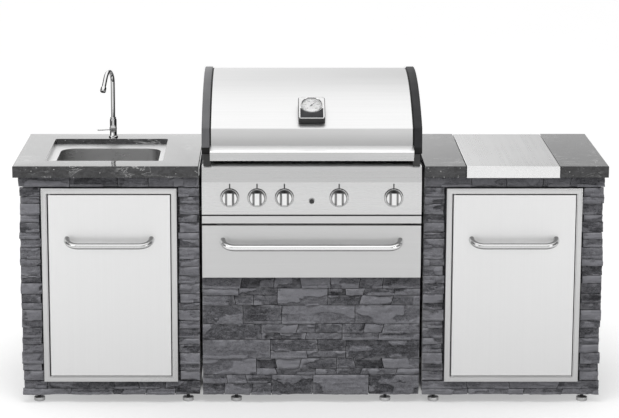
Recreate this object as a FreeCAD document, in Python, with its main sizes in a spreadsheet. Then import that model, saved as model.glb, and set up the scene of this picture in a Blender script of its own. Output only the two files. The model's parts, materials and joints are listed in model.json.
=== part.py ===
import FreeCAD, Part
import math
import os
import re

import Sketcher
from FreeCAD import Rotation, Vector

# Outdoor kitchen island: a sink cabinet, a grill cabinet and a side burner cabinet in one row.
# Millimetres. X runs to the right, Y to the back and Z up, with the origin on the floor under
# the middle of the island. Y of the counter's front edge is the name "front" below.

doc = FreeCAD.newDocument("outdoor_kitchen_island")
sheet = doc.addObject("Spreadsheet::Sheet", "dims")

sizes = {
    # Whole island
    "counter_depth": 660,
    "counter_height": 940,
    "slab": 20,
    "edge_height": 44,
    "edge_depth": 40,
    "slab_round": 3,
    "middle_width": 834,
    "side_width": 684,
    "module_gap": 10,
    "spacer": 24,
    "spacer_inset": 160,
    # Walls of a cabinet, from the stone face inwards
    "left_overhang": 20,
    "right_overhang": 11,
    "stone_setback": 18,
    "stone": 26,
    "stone_relief": 7,
    "stone_joint": 2.5,
    "stone_bottom": 34,
    "side_stone": 230,
    "end_stone": 260,
    "middle_stone": 190,
    "stone_slant": 12,
    "board": 12,
    "tube": 25,
    "sheet_steel": 2,
    "vent_slot": 8,
    "vent_pitch": 24,
    "vent_length": 90,
    "vent_drop": 70,
    "frame_bottom": 46,
    "back_inset": 20,
    # Levelling feet
    "foot_diameter": 43,
    "foot_height": 16,
    "foot_stem": 12,
    "foot_nut": 22,
    "foot_nut_height": 9,
    "foot_inner": 475,
    "foot_outer": 1052,
    "foot_middle": 288,
    # Cabinet doors
    "frame_width": 514,
    "frame_height": 760,
    "frame_base": 92,
    "frame_flange": 18,
    "frame_return": 3,
    "frame_depth": 42,
    "frame_lip": 4,
    "frame_setback": 8,
    "door_gap": 4,
    "door_thick": 22,
    "door_pin": 6,
    "door_pin_length": 13,
    "door_pin_inset": 6.3,
    "running_gap": 0.3,
    # Bar handles
    "door_bar": 23,
    "door_bar_length": 344,
    "door_bar_height": 655,
    "drawer_bar_height": 650,
    "drawer_bar": 25,
    "drawer_bar_length": 698,
    "bar_reach": 50,
    "bar_droop": 17,
    "bar_bend": 26,
    # Sink and tap
    "sink_centre": 792,
    "sink_cut_width": 450,
    "sink_cut_depth": 445,
    "sink_cut_front": 106,
    "sink_cut_round": 12,
    "sink_rim": 14,
    "sink_sheet": 2.5,
    "bowl_width": 394,
    "bowl_length": 330,
    "bowl_front": 124,
    "bowl_offset": 6,
    "bowl_depth": 170,
    "bowl_round": 62,
    "bowl_floor_round": 30,
    "bowl_taper": 3,
    "drain_hole": 52,
    "drain_flange": 84,
    "drain_tail": 40,
    "drain_length": 90,
    "drain_wall": 2,
    "strainer_drop": 6,
    "strainer_hole": 5,
    "tap_offset": 3,
    "tap_back": 592,
    "tap_hole": 30,
    "tap_base": 37,
    "tap_body": 28,
    "tap_body_height": 74,
    "tap_shank": 24,
    "tap_shank_length": 52,
    "tap_tail": 21,
    "tap_tail_length": 25,
    "tap_nut": 38,
    "tap_nut_height": 12,
    "tap_hub_proud": 5,
    "spout_tube": 17,
    "spout_top": 272,
    "spout_reach": 132,
    "spout_drop": 68,
    "spout_turn": 16,
    "spout_collar": 8,
    "aerator": 23,
    "aerator_length": 22,
    "tap_hub": 30,
    "tap_hub_height": 36,
    "lever_hub": 10,
    "lever_rod": 6,
    "lever_length": 62,
    # Side burner
    "burner_left": 585,
    "burner_width": 351,
    "lid_gap": 2.5,
    "lid_front": 8,
    "lid_side_lip": 15,
    "lid_round": 3,
    "well_width": 282,
    "well_front": 150,
    "well_back": 600,
    "well_depth": 72,
    "hinge_back": 640,
    "hinge_drop": 7,
    "hinge_pin": 6,
    "ring_burner": 96,
    "ring_burner_height": 43,
    "well_round": 18,
    "burner_grate_half": 120,
    "burner_grate_bar": 12,
    "burner_grate_thick": 10,
    "side_knob_back": 112,
    "side_knob_diameter": 34,
    "side_valve": 26,
    # Grill: fixed parts
    "panel_setback": 4,
    "panel_bottom": 751,
    "panel_flat_top": 878,
    "panel_lean": 14,
    "panel_round": 12,
    "panel_return": 24,
    "grill_deck": 938,
    "deck_sheet": 3,
    "firebox_gap": 18,
    "firebox_front": 92,
    "firebox_back": 587,
    "firebox_bottom": 742,
    "firebox_sheet": 3,
    "tamer_ledge": 850,
    "tamer_step": 10,
    "grate_ledge": 905,
    "grate_step": 12,
    "back_wall_top": 1040,
    "knob_pitch": 103.5,
    "knob_height": 818,
    "knob_diameter": 60,
    "knob_depth": 28,
    "knob_grip": 27,
    "knob_bezel": 73,
    "bezel_thick": 5,
    "valve_stem": 8,
    "valve_body": 32,
    "valve_back": 30,
    "valve_height": 28,
    "valve_outlet": 10,
    "manifold": 22,
    "button_diameter": 17,
    "button_height": 805,
    "button_proud": 8,
    "burner_tube": 28,
    "tamer_half": 48,
    "tamer_rise": 29,
    "tamer_sheet": 2.5,
    "grate_bar": 9,
    "grate_gap": 11,
    "grate_thick": 12,
    "rack_height": 62,
    "rack_front": 360,
    "rack_back": 520,
    "rack_rod": 6,
    "rear_burner_half": 190,
    "rear_burner_depth": 26,
    "rear_burner_low": 8,
    "rear_burner_high": 82,
    "rear_burner_edge": 8,
    # Drip tray and drawer
    "tray_lip_top": 747,
    "tray_lip_bottom": 718,
    "tray_rail": 28,
    "tray_back": 560,
    "tray_depth": 18,
    "tray_play": 2,
    "tray_ledge": 15,
    "tray_ledge_thick": 2,
    "drawer_top": 710,
    "drawer_bottom": 506,
    "drawer_rail": 24,
    "drawer_rail_low": 70,
    "drawer_rail_height": 45,
    "drawer_box_back": 520,
    "drawer_box_bottom": 522,
    "drawer_box_top": 688,
    # Hood
    "hood_bottom": 962,
    "hood_front": 8,
    "crease_back": 18,
    "crease_height": 1082,
    "crest_back": 575,
    "crest_height": 1225,
    "hood_radius": 850,
    "hood_corner": 25,
    "hood_back_bottom": 1046,
    "hood_sheet": 2,
    "cap_width": 36,
    "cap_step": 6,
    "cap_side_gap": 1,
    "cap_proud": 5,
    "cap_rim": 12,
    "cap_web": 4,
    "cap_bottom": 952,
    "cap_boss": 24,
    "notch_share": 0.2,
    "notch_depth": 46,
    "rest_inset": 7,
    "grip_front": 22,
    "grip_share": 0.46,
    "nose_share": 0.3,
    "grip_end": 5,
    "hinge_plate": 7,
    "hinge_half": 10,
    "hood_pin": 8,
    "hood_pin_back": 598,
    "hood_pin_height": 985,
    "gauge_width": 102,
    "gauge_length": 122,
    "gauge_thick": 28,
    "gauge_tilt": 4.5,
    "gauge_up": 87,
    "gauge_round": 10,
    "gauge_dial": 78,
    "gauge_margin": 6,
    "gauge_seat": 5,
    "gauge_ring": 3,
}
for row, (name, size) in enumerate(sizes.items(), 1):
    sheet.set(f"A{row}", name)
    sheet.set(f"B{row}", str(size))
    sheet.setAlias(f"B{row}", name)
doc.recompute()

# Places that several parts share, as expressions on the sheet
front = "(-(counter_depth-bar_reach-drawer_bar/2+panel_setback)/2)"
back = f"({front}+counter_depth)"
middle = "(middle_width/2)"
inner = f"({middle}+module_gap)"
stone_face = f"({front}+stone_setback)"
board_front = f"({stone_face}+stone)"
tube_front = f"({board_front}+board)"
panel_back = f"({back}-back_inset)"
tube_back = f"({panel_back}-sheet_steel)"
end_face = f"({inner}+side_width)"
left_end = f"(-{end_face}-left_overhang)"
right_end = f"({end_face}+right_overhang)"
board_end = f"({end_face}-stone)"
tube_end = f"({board_end}-board)"
tube_inner = f"({inner}+sheet_steel)"
frame_top = "(counter_height-slab)"
edge_bottom = "(counter_height-edge_height)"
door_centre = f"(({inner}+{end_face})/2)"
door_face = f"({front}+frame_setback)"
panel_face = f"({front}+panel_setback)"


def full(text):
    """Put the sheet's name before every alias in an expression."""
    return re.sub(r"[a-z][a-z_]*", lambda m: "dims." + m[0] if m[0] in sizes else m[0], str(text))


def value(text):
    """The number that an expression on the sheet gives now."""
    return float(sheet.evalExpression(str(text)))


def bind(thing, **settings):
    """Bind properties to expressions; x, y and z are the corner or centre of the placement."""
    for name, text in settings.items():
        path = f"Placement.Base.{name}" if name in "xyz" else name
        thing.setExpression(path, full(text))
    return thing


def box(x, y, z):
    """A box from three (low, high) pairs."""
    thing = doc.addObject("Part::Box", "box")
    bind(thing, x=x[0], y=y[0], z=z[0])
    bind(thing, Length=f"({x[1]})-({x[0]})", Width=f"({y[1]})-({y[0]})", Height=f"({z[1]})-({z[0]})")
    return thing


turns = {
    "X": Rotation(Vector(0, 1, 0), 90),
    "Y": Rotation(Vector(1, 0, 0), -90),
    "Z": Rotation(),
}


def cylinder(axis, x, y, z, diameter, length):
    """A cylinder that starts at x, y, z and runs along an axis."""
    thing = doc.addObject("Part::Cylinder", "cylinder")
    thing.Placement.Rotation = turns[axis]
    bind(thing, x=x, y=y, z=z, Radius=f"({diameter})/2", Height=length)
    return thing


def cut(base, *tools):
    """One piece with others taken out of it."""
    tool = tools[0]
    if len(tools) > 1:
        tool = group(*tools)
    thing = doc.addObject("Part::Cut", "cut")
    thing.Base = base
    thing.Tool = tool
    return thing


def join(*pieces):
    """Several shapes welded into one solid."""
    thing = doc.addObject("Part::MultiFuse", "join")
    thing.Shapes = list(pieces)
    thing.Refine = True
    return thing


def group(*pieces):
    """Separate solids of one sub-part."""
    thing = doc.addObject("Part::Compound", "group")
    thing.Links = list(pieces)
    return thing


def shaped(shape):
    """A form that only code can give, such as a wall of stones."""
    thing = doc.addObject("Part::Feature", "shaped")
    thing.Shape = shape
    return thing


def solid(thing, name):
    """Name a finished sub-part; the name is its file's name too."""
    thing.Label = name
    subparts.append(thing)
    return thing


subparts = []


def new_body(name):
    return doc.addObject("PartDesign::Body", name)


def sketch(body, role, corners=(), circles=(), at="0"):
    """A closed outline on an origin plane of its body, every corner bound to the sheet.

    A corner is (x, y), or (x, y, radius, side) where an arc leads on to the next corner and
    swells to that side of the way. A circle is (x, y, diameter).
    """
    drawing = body.newObject("Sketcher::SketchObject", body.Name + "_sketch")
    plane = next(item for item in body.Origin.OriginFeatures if item.Role == role)
    drawing.AttachmentSupport = [(plane, "")]
    drawing.MapMode = "FlatFace"
    drawing.setExpression("AttachmentOffset.Base.z", full(at))
    points = [Vector(value(corner[0]), value(corner[1]), 0) for corner in corners]
    starts = []
    for number, corner in enumerate(corners):
        begin = points[number]
        end = points[(number + 1) % len(points)]
        starts.append((number, 1, 2))
        if len(corner) == 2:
            drawing.addGeometry(Part.LineSegment(begin, end), False)
            continue
        radius = value(corner[2])
        chord = end - begin
        rise = radius - math.sqrt(max(radius ** 2 - (chord.Length / 2) ** 2, 0))
        side = Vector(-chord.y, chord.x, 0).normalize() * (rise if corner[3] == "left" else -rise)
        drawing.addGeometry(Part.Arc(begin, (begin + end) / 2 + side, end), False)
        if (drawing.getPoint(number, 1) - begin).Length > 1e-4:
            starts[number] = (number, 2, 1)
    for number, (edge, first, last) in enumerate(starts):
        following = starts[(number + 1) % len(starts)]
        drawing.addConstraint(Sketcher.Constraint("Coincident", edge, last, following[0], following[1]))
    for number, corner in enumerate(corners):
        edge, first, last = starts[number]
        held = (("DistanceX", corner[0], points[number].x), ("DistanceY", corner[1], points[number].y))
        for kind, text, size in held:
            key = drawing.addConstraint(Sketcher.Constraint(kind, -1, 1, edge, first, size))
            drawing.setExpression(f"Constraints[{key}]", full(text))
        if len(corner) > 2:
            key = drawing.addConstraint(Sketcher.Constraint("Radius", edge, value(corner[2])))
            drawing.setExpression(f"Constraints[{key}]", full(corner[2]))
    for x, y, diameter in circles:
        centre = Vector(value(x), value(y), 0)
        edge = drawing.addGeometry(Part.Circle(centre, Vector(0, 0, 1), value(diameter) / 2), False)
        for kind, text, size in (("DistanceX", x, centre.x), ("DistanceY", y, centre.y)):
            key = drawing.addConstraint(Sketcher.Constraint(kind, -1, 1, edge, 3, size))
            drawing.setExpression(f"Constraints[{key}]", full(text))
        key = drawing.addConstraint(Sketcher.Constraint("Diameter", edge, value(diameter)))
        drawing.setExpression(f"Constraints[{key}]", full(diameter))
    return drawing


def rounded(x, y, radius):
    """Corners of a rectangle from (low, high) pairs, with rounded corners, anticlockwise."""
    left, right = x
    low, high = y
    return [
        (f"{left}+{radius}", low),
        (f"{right}-({radius})", low, radius, "right"),
        (right, f"{low}+{radius}"),
        (right, f"{high}-({radius})", radius, "right"),
        (f"{right}-({radius})", high),
        (f"{left}+{radius}", high, radius, "right"),
        (left, f"{high}-({radius})"),
        (left, f"{low}+{radius}", radius, "right"),
    ]


def rectangle(x, y):
    """Corners of a rectangle from two (low, high) pairs."""
    return [(x[0], y[0]), (x[1], y[0]), (x[1], y[1]), (x[0], y[1])]


def pad(body, drawing, length, reversed=False, middle_plane=False, taper=None):
    feature = body.newObject("PartDesign::Pad", body.Name + "_pad")
    feature.Profile = drawing
    feature.setExpression("Length", full(length))
    feature.Reversed = reversed
    if middle_plane:
        feature.SideType = "Symmetric"
    if taper:
        feature.setExpression("TaperAngle", full(taper))
    return feature


def pocket(body, drawing, length, reversed=False, middle_plane=False, taper=None):
    """A pocket that is checked to take something away."""
    doc.recompute()
    before = body.Shape.Volume
    feature = body.newObject("PartDesign::Pocket", body.Name + "_pocket")
    feature.Profile = drawing
    feature.setExpression("Length", full(length))
    feature.Reversed = reversed
    if middle_plane:
        feature.SideType = "Symmetric"
    if taper:
        feature.setExpression("TaperAngle", full(taper))
    doc.recompute()
    if body.Shape.Volume > before - 1:
        raise ValueError(f"{body.Name}: a pocket cuts nothing")
    return feature


def turned(body, corners, role="XZ_Plane"):
    """A solid turned about the body's own Z axis, from radius and height pairs."""
    feature = body.newObject("PartDesign::Revolution", body.Name + "_turned")
    drawing = sketch(body, role, corners)
    feature.Profile = drawing
    feature.ReferenceAxis = (drawing, ["V_Axis"])
    feature.Angle = 360
    return feature


def soften(body, radius, keep, kind="Fillet"):
    """Round or bevel the edges of a body that keep(edge) picks."""
    doc.recompute()
    base = body.Tip
    names = [f"Edge{n}" for n, edge in enumerate(base.Shape.Edges, 1) if keep(edge)]
    if not names:
        raise ValueError(f"{body.Name}: no edge to soften")
    feature = body.newObject(f"PartDesign::{kind}", body.Name + "_" + kind.lower())
    feature.Base = (base, names)
    feature.setExpression("Radius" if kind == "Fillet" else "Size", full(radius))
    return feature


def flat_at(height, slack=0.01):
    """Picks edges that lie wholly at one Z of the body."""
    level = value(height)
    return lambda edge: abs(edge.BoundBox.ZMin - level) < slack and abs(edge.BoundBox.ZMax - level) < slack


def mirrored(span):
    """A (low, high) pair on the other side of the middle."""
    return (f"-({span[1]})", f"-({span[0]})")


def beside(side, low, high):
    """A span in X of the left (-1) or right (1) cabinet from distances off the middle."""
    return (low, high) if side > 0 else mirrored((low, high))


# Cabinet frames of square tube

def tube_x(x, y, z):
    return box(x, (y, f"{y}+tube"), (z, f"{z}+tube"))


def tube_y(x, y, z):
    return box((x, f"{x}+tube"), y, (z, f"{z}+tube"))


def tube_z(x, y, z):
    return box((x, f"{x}+tube"), (y, f"{y}+tube"), z)


front_rail = tube_front
back_rail = f"({tube_back}-tube)"
post_z = ("frame_bottom+tube", f"{frame_top}-tube")
rail_depth = (f"{front_rail}+tube", back_rail)


def side_frame(side, name):
    """Posts, rails and the two studs that the door frame is screwed to."""
    low, high = beside(side, tube_inner, tube_end)
    jamb = "frame_width/2-frame_flange"
    studs = (f"({side}*{door_centre}-({jamb})-tube)", f"({side}*{door_centre}+{jamb})")
    tubes = []
    for level in ("frame_bottom", f"({frame_top}-tube)"):
        for depth in (front_rail, back_rail):
            tubes.append(tube_x((low, high), depth, level))
        for place in (low, f"({high}-tube)"):
            tubes.append(tube_y(place, rail_depth, level))
    for place in (low, f"({high}-tube)"):
        for depth in (front_rail, back_rail):
            tubes.append(tube_z(place, depth, post_z))
    for place in studs:
        tubes.append(tube_z(place, front_rail, post_z))
    if side > 0:
        for place in ("(burner_left-tube)", "(burner_left+burner_width)"):
            tubes.append(tube_y(place, rail_depth, f"({frame_top}-tube)"))
    return solid(group(*tubes), name)


side_frame(-1, "left_frame")
side_frame(1, "right_frame")

middle_top = "(grill_deck-deck_sheet)"
middle_side = f"({middle}-sheet_steel)"
low, high = f"(-{middle_side})", middle_side
tubes = []
for place in (low, f"({high}-tube)"):
    for depth in (front_rail, back_rail):
        tubes.append(tube_z(place, depth, ("frame_bottom+tube", f"{middle_top}-tube")))
    for level in ("frame_bottom", f"({middle_top}-tube)"):
        tubes.append(tube_y(place, rail_depth, level))
for level in ("frame_bottom", f"({middle_top}-tube)"):
    tubes.append(tube_x((low, high), back_rail, level))
tubes.append(tube_x((low, high), front_rail, "frame_bottom"))
tubes.append(tube_x((f"{low}+tube", f"{high}-tube"), front_rail, "(drawer_bottom-tube-stone_joint)"))
solid(group(*tubes), "middle_frame")


# Cement boards that carry the stone, with the doorway cut out of the front one

doorway = "(frame_width/2-frame_flange+0.5)"
board_z = ("frame_bottom", frame_top)


def side_boards(side):
    face = box(beside(side, inner, tube_end), (board_front, tube_front), board_z)
    hole = box(
        (f"{side}*{door_centre}-{doorway}", f"{side}*{door_centre}+{doorway}"),
        (f"{board_front}-1", f"{tube_front}+1"),
        ("frame_base+frame_flange-0.5", "frame_base+frame_height-frame_flange+0.5"),
    )
    end = box(beside(side, tube_end, board_end), (board_front, panel_back), board_z)
    return [cut(face, hole), end]


middle_stone_top = "(drawer_bottom-stone_joint)"
middle_board = box((f"-{middle}", middle), (board_front, tube_front), ("frame_bottom", middle_stone_top))
solid(group(middle_board, *side_boards(-1), *side_boards(1)), "cement_boards")


# Ledge stone: courses of split stone, each stone its own block with its own depth

course_heights = [41, 30, 37, 27, 44, 33, 24, 39, 29, 42, 26, 35]


def chance(seed):
    """A fixed number from 0 to 1 for each seed."""
    return math.modf(abs(math.sin(seed * 12.9898) * 43758.5453))[0]


def courses(low, high, first):
    """Levels of the courses of a wall, scaled so that the last one ends at its top."""
    heights = []
    number = first
    while sum(heights) < high - low - course_heights[0] / 2:
        heights.append(course_heights[number % len(course_heights)])
        number += 1
    scale = (high - low) / sum(heights)
    level = low
    levels = []
    for height in heights:
        levels.append((level, level + height * scale))
        level += height * scale
    return levels


def stones_across(low, high, longest, seed):
    """Breaks of one course: lengths from a half to the whole of the longest stone."""
    lengths = []
    while sum(lengths) < high - low:
        lengths.append(longest * (0.45 + 0.55 * chance(seed + len(lengths) * 1.7)))
    scale = (high - low) / sum(lengths)
    place = low
    spans = []
    for length in lengths:
        spans.append((place, place + length * scale))
        place += length * scale
    return spans


def block(x, y, z):
    corner = Vector(x[0], y[0], z[0])
    return Part.makeBox(x[1] - x[0], y[1] - y[0], z[1] - z[0], corner)


joint = value("stone_joint")
relief = value("stone_relief")
stone_back_y = value(board_front)
middle_top_z = value(middle_stone_top)


def inset(span):
    """A (low, high) pair less half a joint at each end."""
    return (span[0] + joint / 2, span[1] - joint / 2)


def front_stone(x, z, seed, slants=(0, 0)):
    """A stone on a front wall, proud by a part of the relief, its ends slanted by so much."""
    face = value(stone_face) - relief * (chance(seed) - 0.4)
    left, right = inset(x)
    low, high = inset(z)
    outline = [
        Vector(left - slants[0] / 2, face, low),
        Vector(right - slants[1] / 2, face, low),
        Vector(right + slants[1] / 2, face, high),
        Vector(left + slants[0] / 2, face, high),
    ]
    side = Part.Face(Part.makePolygon(outline + outline[:1]))
    return side.extrude(Vector(0, stone_back_y - face, 0))


def corner_face(seed):
    """Distance of an end wall's stone face from the middle of the island."""
    return value(end_face) + relief * (chance(seed) - 0.6)


def end_stone(side, y, z, seed):
    """A stone on an end wall."""
    x = (value(board_end), corner_face(seed))
    if side < 0:
        x = (-x[1], -x[0])
    return block(x, inset(y), inset(z))


def stone_row(x, z, longest, seed):
    """Stones side by side in one course, with slanted joints between them."""
    spans = stones_across(*x, longest, seed)
    reach = min(value("stone_slant"), (z[1] - z[0]) * 0.4)
    lean = [reach * (2 * chance(seed * 2.7 + count) - 1) for count in range(len(spans) + 1)]
    lean[0] = 0
    lean[-1] = 0
    return [front_stone(span, z, seed + count * 7.3, (lean[count], lean[count + 1]))
            for count, span in enumerate(spans)]


stone_top = value(edge_bottom) - joint


def side_stones(side, name):
    """Columns beside the door, bands over and under it, and the end wall."""
    low, high = value(inner), value(end_face)
    door_low = value(f"{door_centre}-frame_width/2")
    door_high = value(f"{door_centre}+frame_width/2")
    frame_low = value("frame_base")
    frame_high = value("frame_base+frame_height")
    bands = [
        (value("stone_bottom"), frame_low - joint, 1),
        (frame_low, frame_high, 2),
        (frame_high + joint, stone_top, 5),
    ]
    stones = []
    seed = 11 if side < 0 else 57
    for bottom, top, first in bands:
        for z in courses(bottom, top, first):
            seed += 1
            if bottom == frame_low:
                spans = [
                    (low, door_low - joint * (1 + 3 * chance(seed * 1.3))),
                    (door_high + joint * (1 + 3 * chance(seed * 2.3)), corner_face(seed)),
                ]
                for count, (start, end) in enumerate(spans):
                    x = (start, end) if side > 0 else (-end, -start)
                    stones.append(front_stone(x, z, seed + count * 7.3))
            else:
                x = (low, corner_face(seed))
                stones += stone_row(x if side > 0 else (-x[1], -x[0]), z, value("side_stone"), seed)
    wall = (stone_back_y + joint / 2, value(panel_back))
    for z in courses(value("stone_bottom"), stone_top, 3):
        seed += 1
        for count, y in enumerate(stones_across(*wall, value("end_stone"), seed)):
            stones.append(end_stone(side, y, z, seed + count * 5.1))
    return solid(shaped(Part.makeCompound(stones)), name)


side_stones(-1, "left_stone_veneer")
side_stones(1, "right_stone_veneer")

# The middle wall pairs its courses: parts of a pair hold one tall stone, the others two rows
stones = []
seed = 90
levels = courses(value("stone_bottom"), middle_top_z, 4)
while levels:
    seed += 1
    pair = levels[:2]
    levels = levels[2:]
    parts = stones_across(-value(middle), value(middle), 2.2 * value("middle_stone"), seed * 1.1)
    if len(pair) < 2:
        parts = [(-value(middle), value(middle))]
    for count, x in enumerate(parts):
        number = seed + count * 3.7
        if len(pair) == 2 and x[1] - x[0] < 1.5 * value("middle_stone") and chance(number) > 0.35:
            stones.append(front_stone(x, (pair[0][0], pair[1][1]), number))
            continue
        for z in pair:
            number += 1.9
            stones += stone_row(x, z, value("middle_stone"), number)
solid(shaped(Part.makeCompound(stones)), "middle_stone_veneer")


# Sheet steel panels: cabinet floors, inner sides and backs

floor_x = (f"{tube_inner}+tube", f"{tube_end}-tube")
floor_z = ("frame_bottom+tube-sheet_steel", "frame_bottom+tube")
middle_floor = (f"-{middle_side}+tube", f"{middle_side}-tube")
floors = [box(beside(side, *floor_x), rail_depth, floor_z) for side in (-1, 1)]
floors.append(box(middle_floor, rail_depth, floor_z))
panels = [box(beside(side, inner, tube_inner), (tube_front, panel_back), board_z) for side in (-1, 1)]
panels += [box(beside(side, middle_side, middle), (tube_front, panel_back), ("frame_bottom", middle_top))
           for side in (-1, 1)]
solid(group(*floors, *panels), "liner_panels")

# Spacer discs at the posts, where the cabinets are bolted to one another

spacers = []
for side in (-1, 1):
    start = middle if side > 0 else f"(-{inner})"
    for y in (f"{front_rail}+tube/2", f"{back_rail}+tube/2"):
        for z in ("spacer_inset", f"{frame_top}-spacer_inset"):
            spacers.append(cylinder("X", start, y, z, "spacer", "module_gap"))
solid(group(*spacers), "module_spacers")

vent_count = 9


def back_panel(x, top):
    """A back sheet with a row of upright vent slots near its top."""
    sheet_metal = box(x, (tube_back, panel_back), ("frame_bottom", top))
    centre = f"(({x[0]})+({x[1]}))/2"
    slots = []
    for number in range(vent_count):
        place = f"{centre}+{number - vent_count // 2}*vent_pitch"
        slots.append(box((f"{place}-vent_slot/2", f"{place}+vent_slot/2"),
                         (f"{tube_back}-1", f"{panel_back}+1"),
                         (f"{top}-vent_drop-vent_length", f"{top}-vent_drop")))
    return cut(sheet_metal, *slots)


backs = [back_panel(beside(side, tube_inner, tube_end), frame_top) for side in (-1, 1)]
backs.append(back_panel((f"-{middle_side}", middle_side), middle_top))
solid(group(*backs), "back_panels")


# Levelling feet: pad, stem and lock nut turned as one, under the bottom rails

foot = new_body("foot")
turned(foot, [
    ("0", "0"),
    ("foot_diameter/2", "0"),
    ("foot_diameter/2", "foot_height*0.35"),
    ("foot_diameter*0.3", "foot_height"),
    ("foot_stem/2", "foot_height"),
    ("foot_stem/2", "frame_bottom-foot_nut_height"),
    ("foot_nut/2", "frame_bottom-foot_nut_height"),
    ("foot_nut/2", "frame_bottom"),
    ("0", "frame_bottom"),
])
doc.recompute()
feet = []
for x in ("foot_inner", "foot_outer", "foot_middle"):
    for side in (-1, 1):
        for y in (f"{front_rail}+tube/2", f"{back_rail}+tube/2"):
            feet.append(foot.Shape.translated(Vector(side * value(x), value(y), 0)))
solid(shaped(Part.makeCompound(feet)), "levelling_feet")


# Countertops: a slab with a built-up edge along the front and the outer end

def countertop(name, x, side):
    """Slab from span x; side is where its outer end is, or 0 where both ends are plain."""
    body = new_body(name)
    pad(body, sketch(body, "XY_Plane", rectangle(x, (front, back)), at=frame_top), "slab")
    edges = [rectangle(x, (front, f"{front}+edge_depth"))]
    if side < 0:
        edges.append(rectangle((x[0], f"-{board_end}-2"), (front, back)))
    if side > 0:
        edges.append(rectangle((f"{board_end}+2", x[1]), (front, back)))
    for edge in edges:
        pad(body, sketch(body, "XY_Plane", edge, at=edge_bottom), "edge_height-slab")
    return body


sink_x = ("-sink_centre-sink_cut_width/2", "-sink_centre+sink_cut_width/2")
sink_y = (f"{front}+sink_cut_front", f"{front}+sink_cut_front+sink_cut_depth")
tap_x = "(-sink_centre+tap_offset)"
tap_y = f"({front}+tap_back)"

left_top = countertop("left_countertop", (left_end, f"-{inner}"), -1)
opening = sketch(left_top, "XY_Plane", rounded(sink_x, sink_y, "sink_cut_round"), at="counter_height")
pocket(left_top, opening, "slab")
hole = sketch(left_top, "XY_Plane", circles=[(tap_x, tap_y, "tap_hole")], at="counter_height")
pocket(left_top, hole, "slab")
soften(left_top, "slab_round", lambda edge: flat_at("counter_height")(edge) and
       (abs(edge.BoundBox.YMin - value(front)) < 0.01 or abs(edge.BoundBox.XMin - value(left_end)) < 0.01)
       and min(edge.BoundBox.XLength, edge.BoundBox.YLength) < 0.01)
solid(left_top, "left_countertop")

right_tops = []
for name, x, side in (
    ("right_inner_top", (inner, "burner_left-lid_gap"), 0),
    ("right_outer_top", ("burner_left+burner_width+lid_gap", right_end), 1),
):
    body = countertop(name, x, side)
    soften(body, "slab_round", lambda edge: flat_at("counter_height")(edge) and (
        abs(edge.BoundBox.YMax - value(front)) < 0.01 or abs(edge.BoundBox.XMin - value(right_end)) < 0.01))
    right_tops.append(body)
solid(group(*right_tops), "right_countertops")


# Sink bowl, hung under the slab by its rim

bowl = new_body("bowl_pressing")
rim_x = (f"{sink_x[0]}-sink_rim", f"{sink_x[1]}+sink_rim")
rim_y = (f"{sink_y[0]}-sink_rim", f"{sink_y[1]}+sink_rim")
bowl_x = ("-sink_centre+bowl_offset-bowl_width/2", "-sink_centre+bowl_offset+bowl_width/2")
bowl_y = (f"{front}+bowl_front", f"{front}+bowl_front+bowl_length")
wall_x = (f"{bowl_x[0]}-sink_sheet", f"{bowl_x[1]}+sink_sheet")
wall_y = (f"{bowl_y[0]}-sink_sheet", f"{bowl_y[1]}+sink_sheet")
rim_under = f"({frame_top}-sink_sheet)"
pad(bowl, sketch(bowl, "XY_Plane", rounded(rim_x, rim_y, "sink_cut_round"), at=rim_under), "sink_sheet")
pad(bowl, sketch(bowl, "XY_Plane", rounded(wall_x, wall_y, "bowl_round+sink_sheet"), at=frame_top),
    "bowl_depth+sink_sheet", reversed=True, taper="-bowl_taper")
soften(bowl, "bowl_floor_round+sink_sheet", flat_at(f"{frame_top}-bowl_depth-sink_sheet"))
cavity = new_body("bowl_cavity")
pad(cavity, sketch(cavity, "XY_Plane", rounded(bowl_x, bowl_y, "bowl_round"), at=frame_top),
    "bowl_depth", reversed=True, taper="-bowl_taper")
soften(cavity, "bowl_floor_round", flat_at(f"{frame_top}-bowl_depth"))
drain_x = "(-sink_centre+bowl_offset)"
drain_y = f"({front}+bowl_front+bowl_length*0.5)"
waste = cylinder("Z", drain_x, drain_y, f"{frame_top}-bowl_depth-sink_sheet*2", "drain_hole", "sink_sheet*3")
solid(cut(cut(bowl, cavity), waste), "sink_bowl")

bowl_floor = f"({frame_top}-bowl_depth)"
drain = new_body("drain")
strainer_edge = "(drain_hole/2-running_gap-drain_wall)"
turned(drain, [
    (strainer_edge, "1.5"),
    (strainer_edge, "-drain_length*0.35"),
    ("drain_tail/2-drain_wall", "-drain_length*0.45"),
    ("drain_tail/2-drain_wall", "-drain_length"),
    ("drain_tail/2", "-drain_length"),
    ("drain_tail/2", "-drain_length*0.45"),
    ("drain_hole/2-running_gap", "-drain_length*0.35"),
    ("drain_hole/2-running_gap", "0"),
    ("drain_flange/2", "0"),
    ("drain_flange/2", "1.5"),
])
bind(drain, x=drain_x, y=drain_y, z=bowl_floor)
strainer = new_body("strainer")
turned(strainer, [
    ("0", "-strainer_drop"),
    (strainer_edge, "-strainer_drop"),
    (strainer_edge, "-strainer_drop/2"),
    ("0", "-strainer_drop/2"),
])
holes = [("0", "0", "strainer_hole")]
for count, ring in ((6, "strainer_hole*1.7"), (12, "strainer_hole*3.4")):
    for number in range(count):
        turn = 360 * number / count
        holes.append((f"{ring}*cos({turn}deg)", f"{ring}*sin({turn}deg)", "strainer_hole"))
pocket(strainer, sketch(strainer, "XY_Plane", circles=holes, at="-strainer_drop/2"), "strainer_drop/2")
bind(strainer, x=drain_x, y=drain_y, z=bowl_floor)
solid(group(drain, strainer), "sink_drain")


# Tap: body with its shank, tail and nut, a spout that swivels on it and a lever at its side

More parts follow.
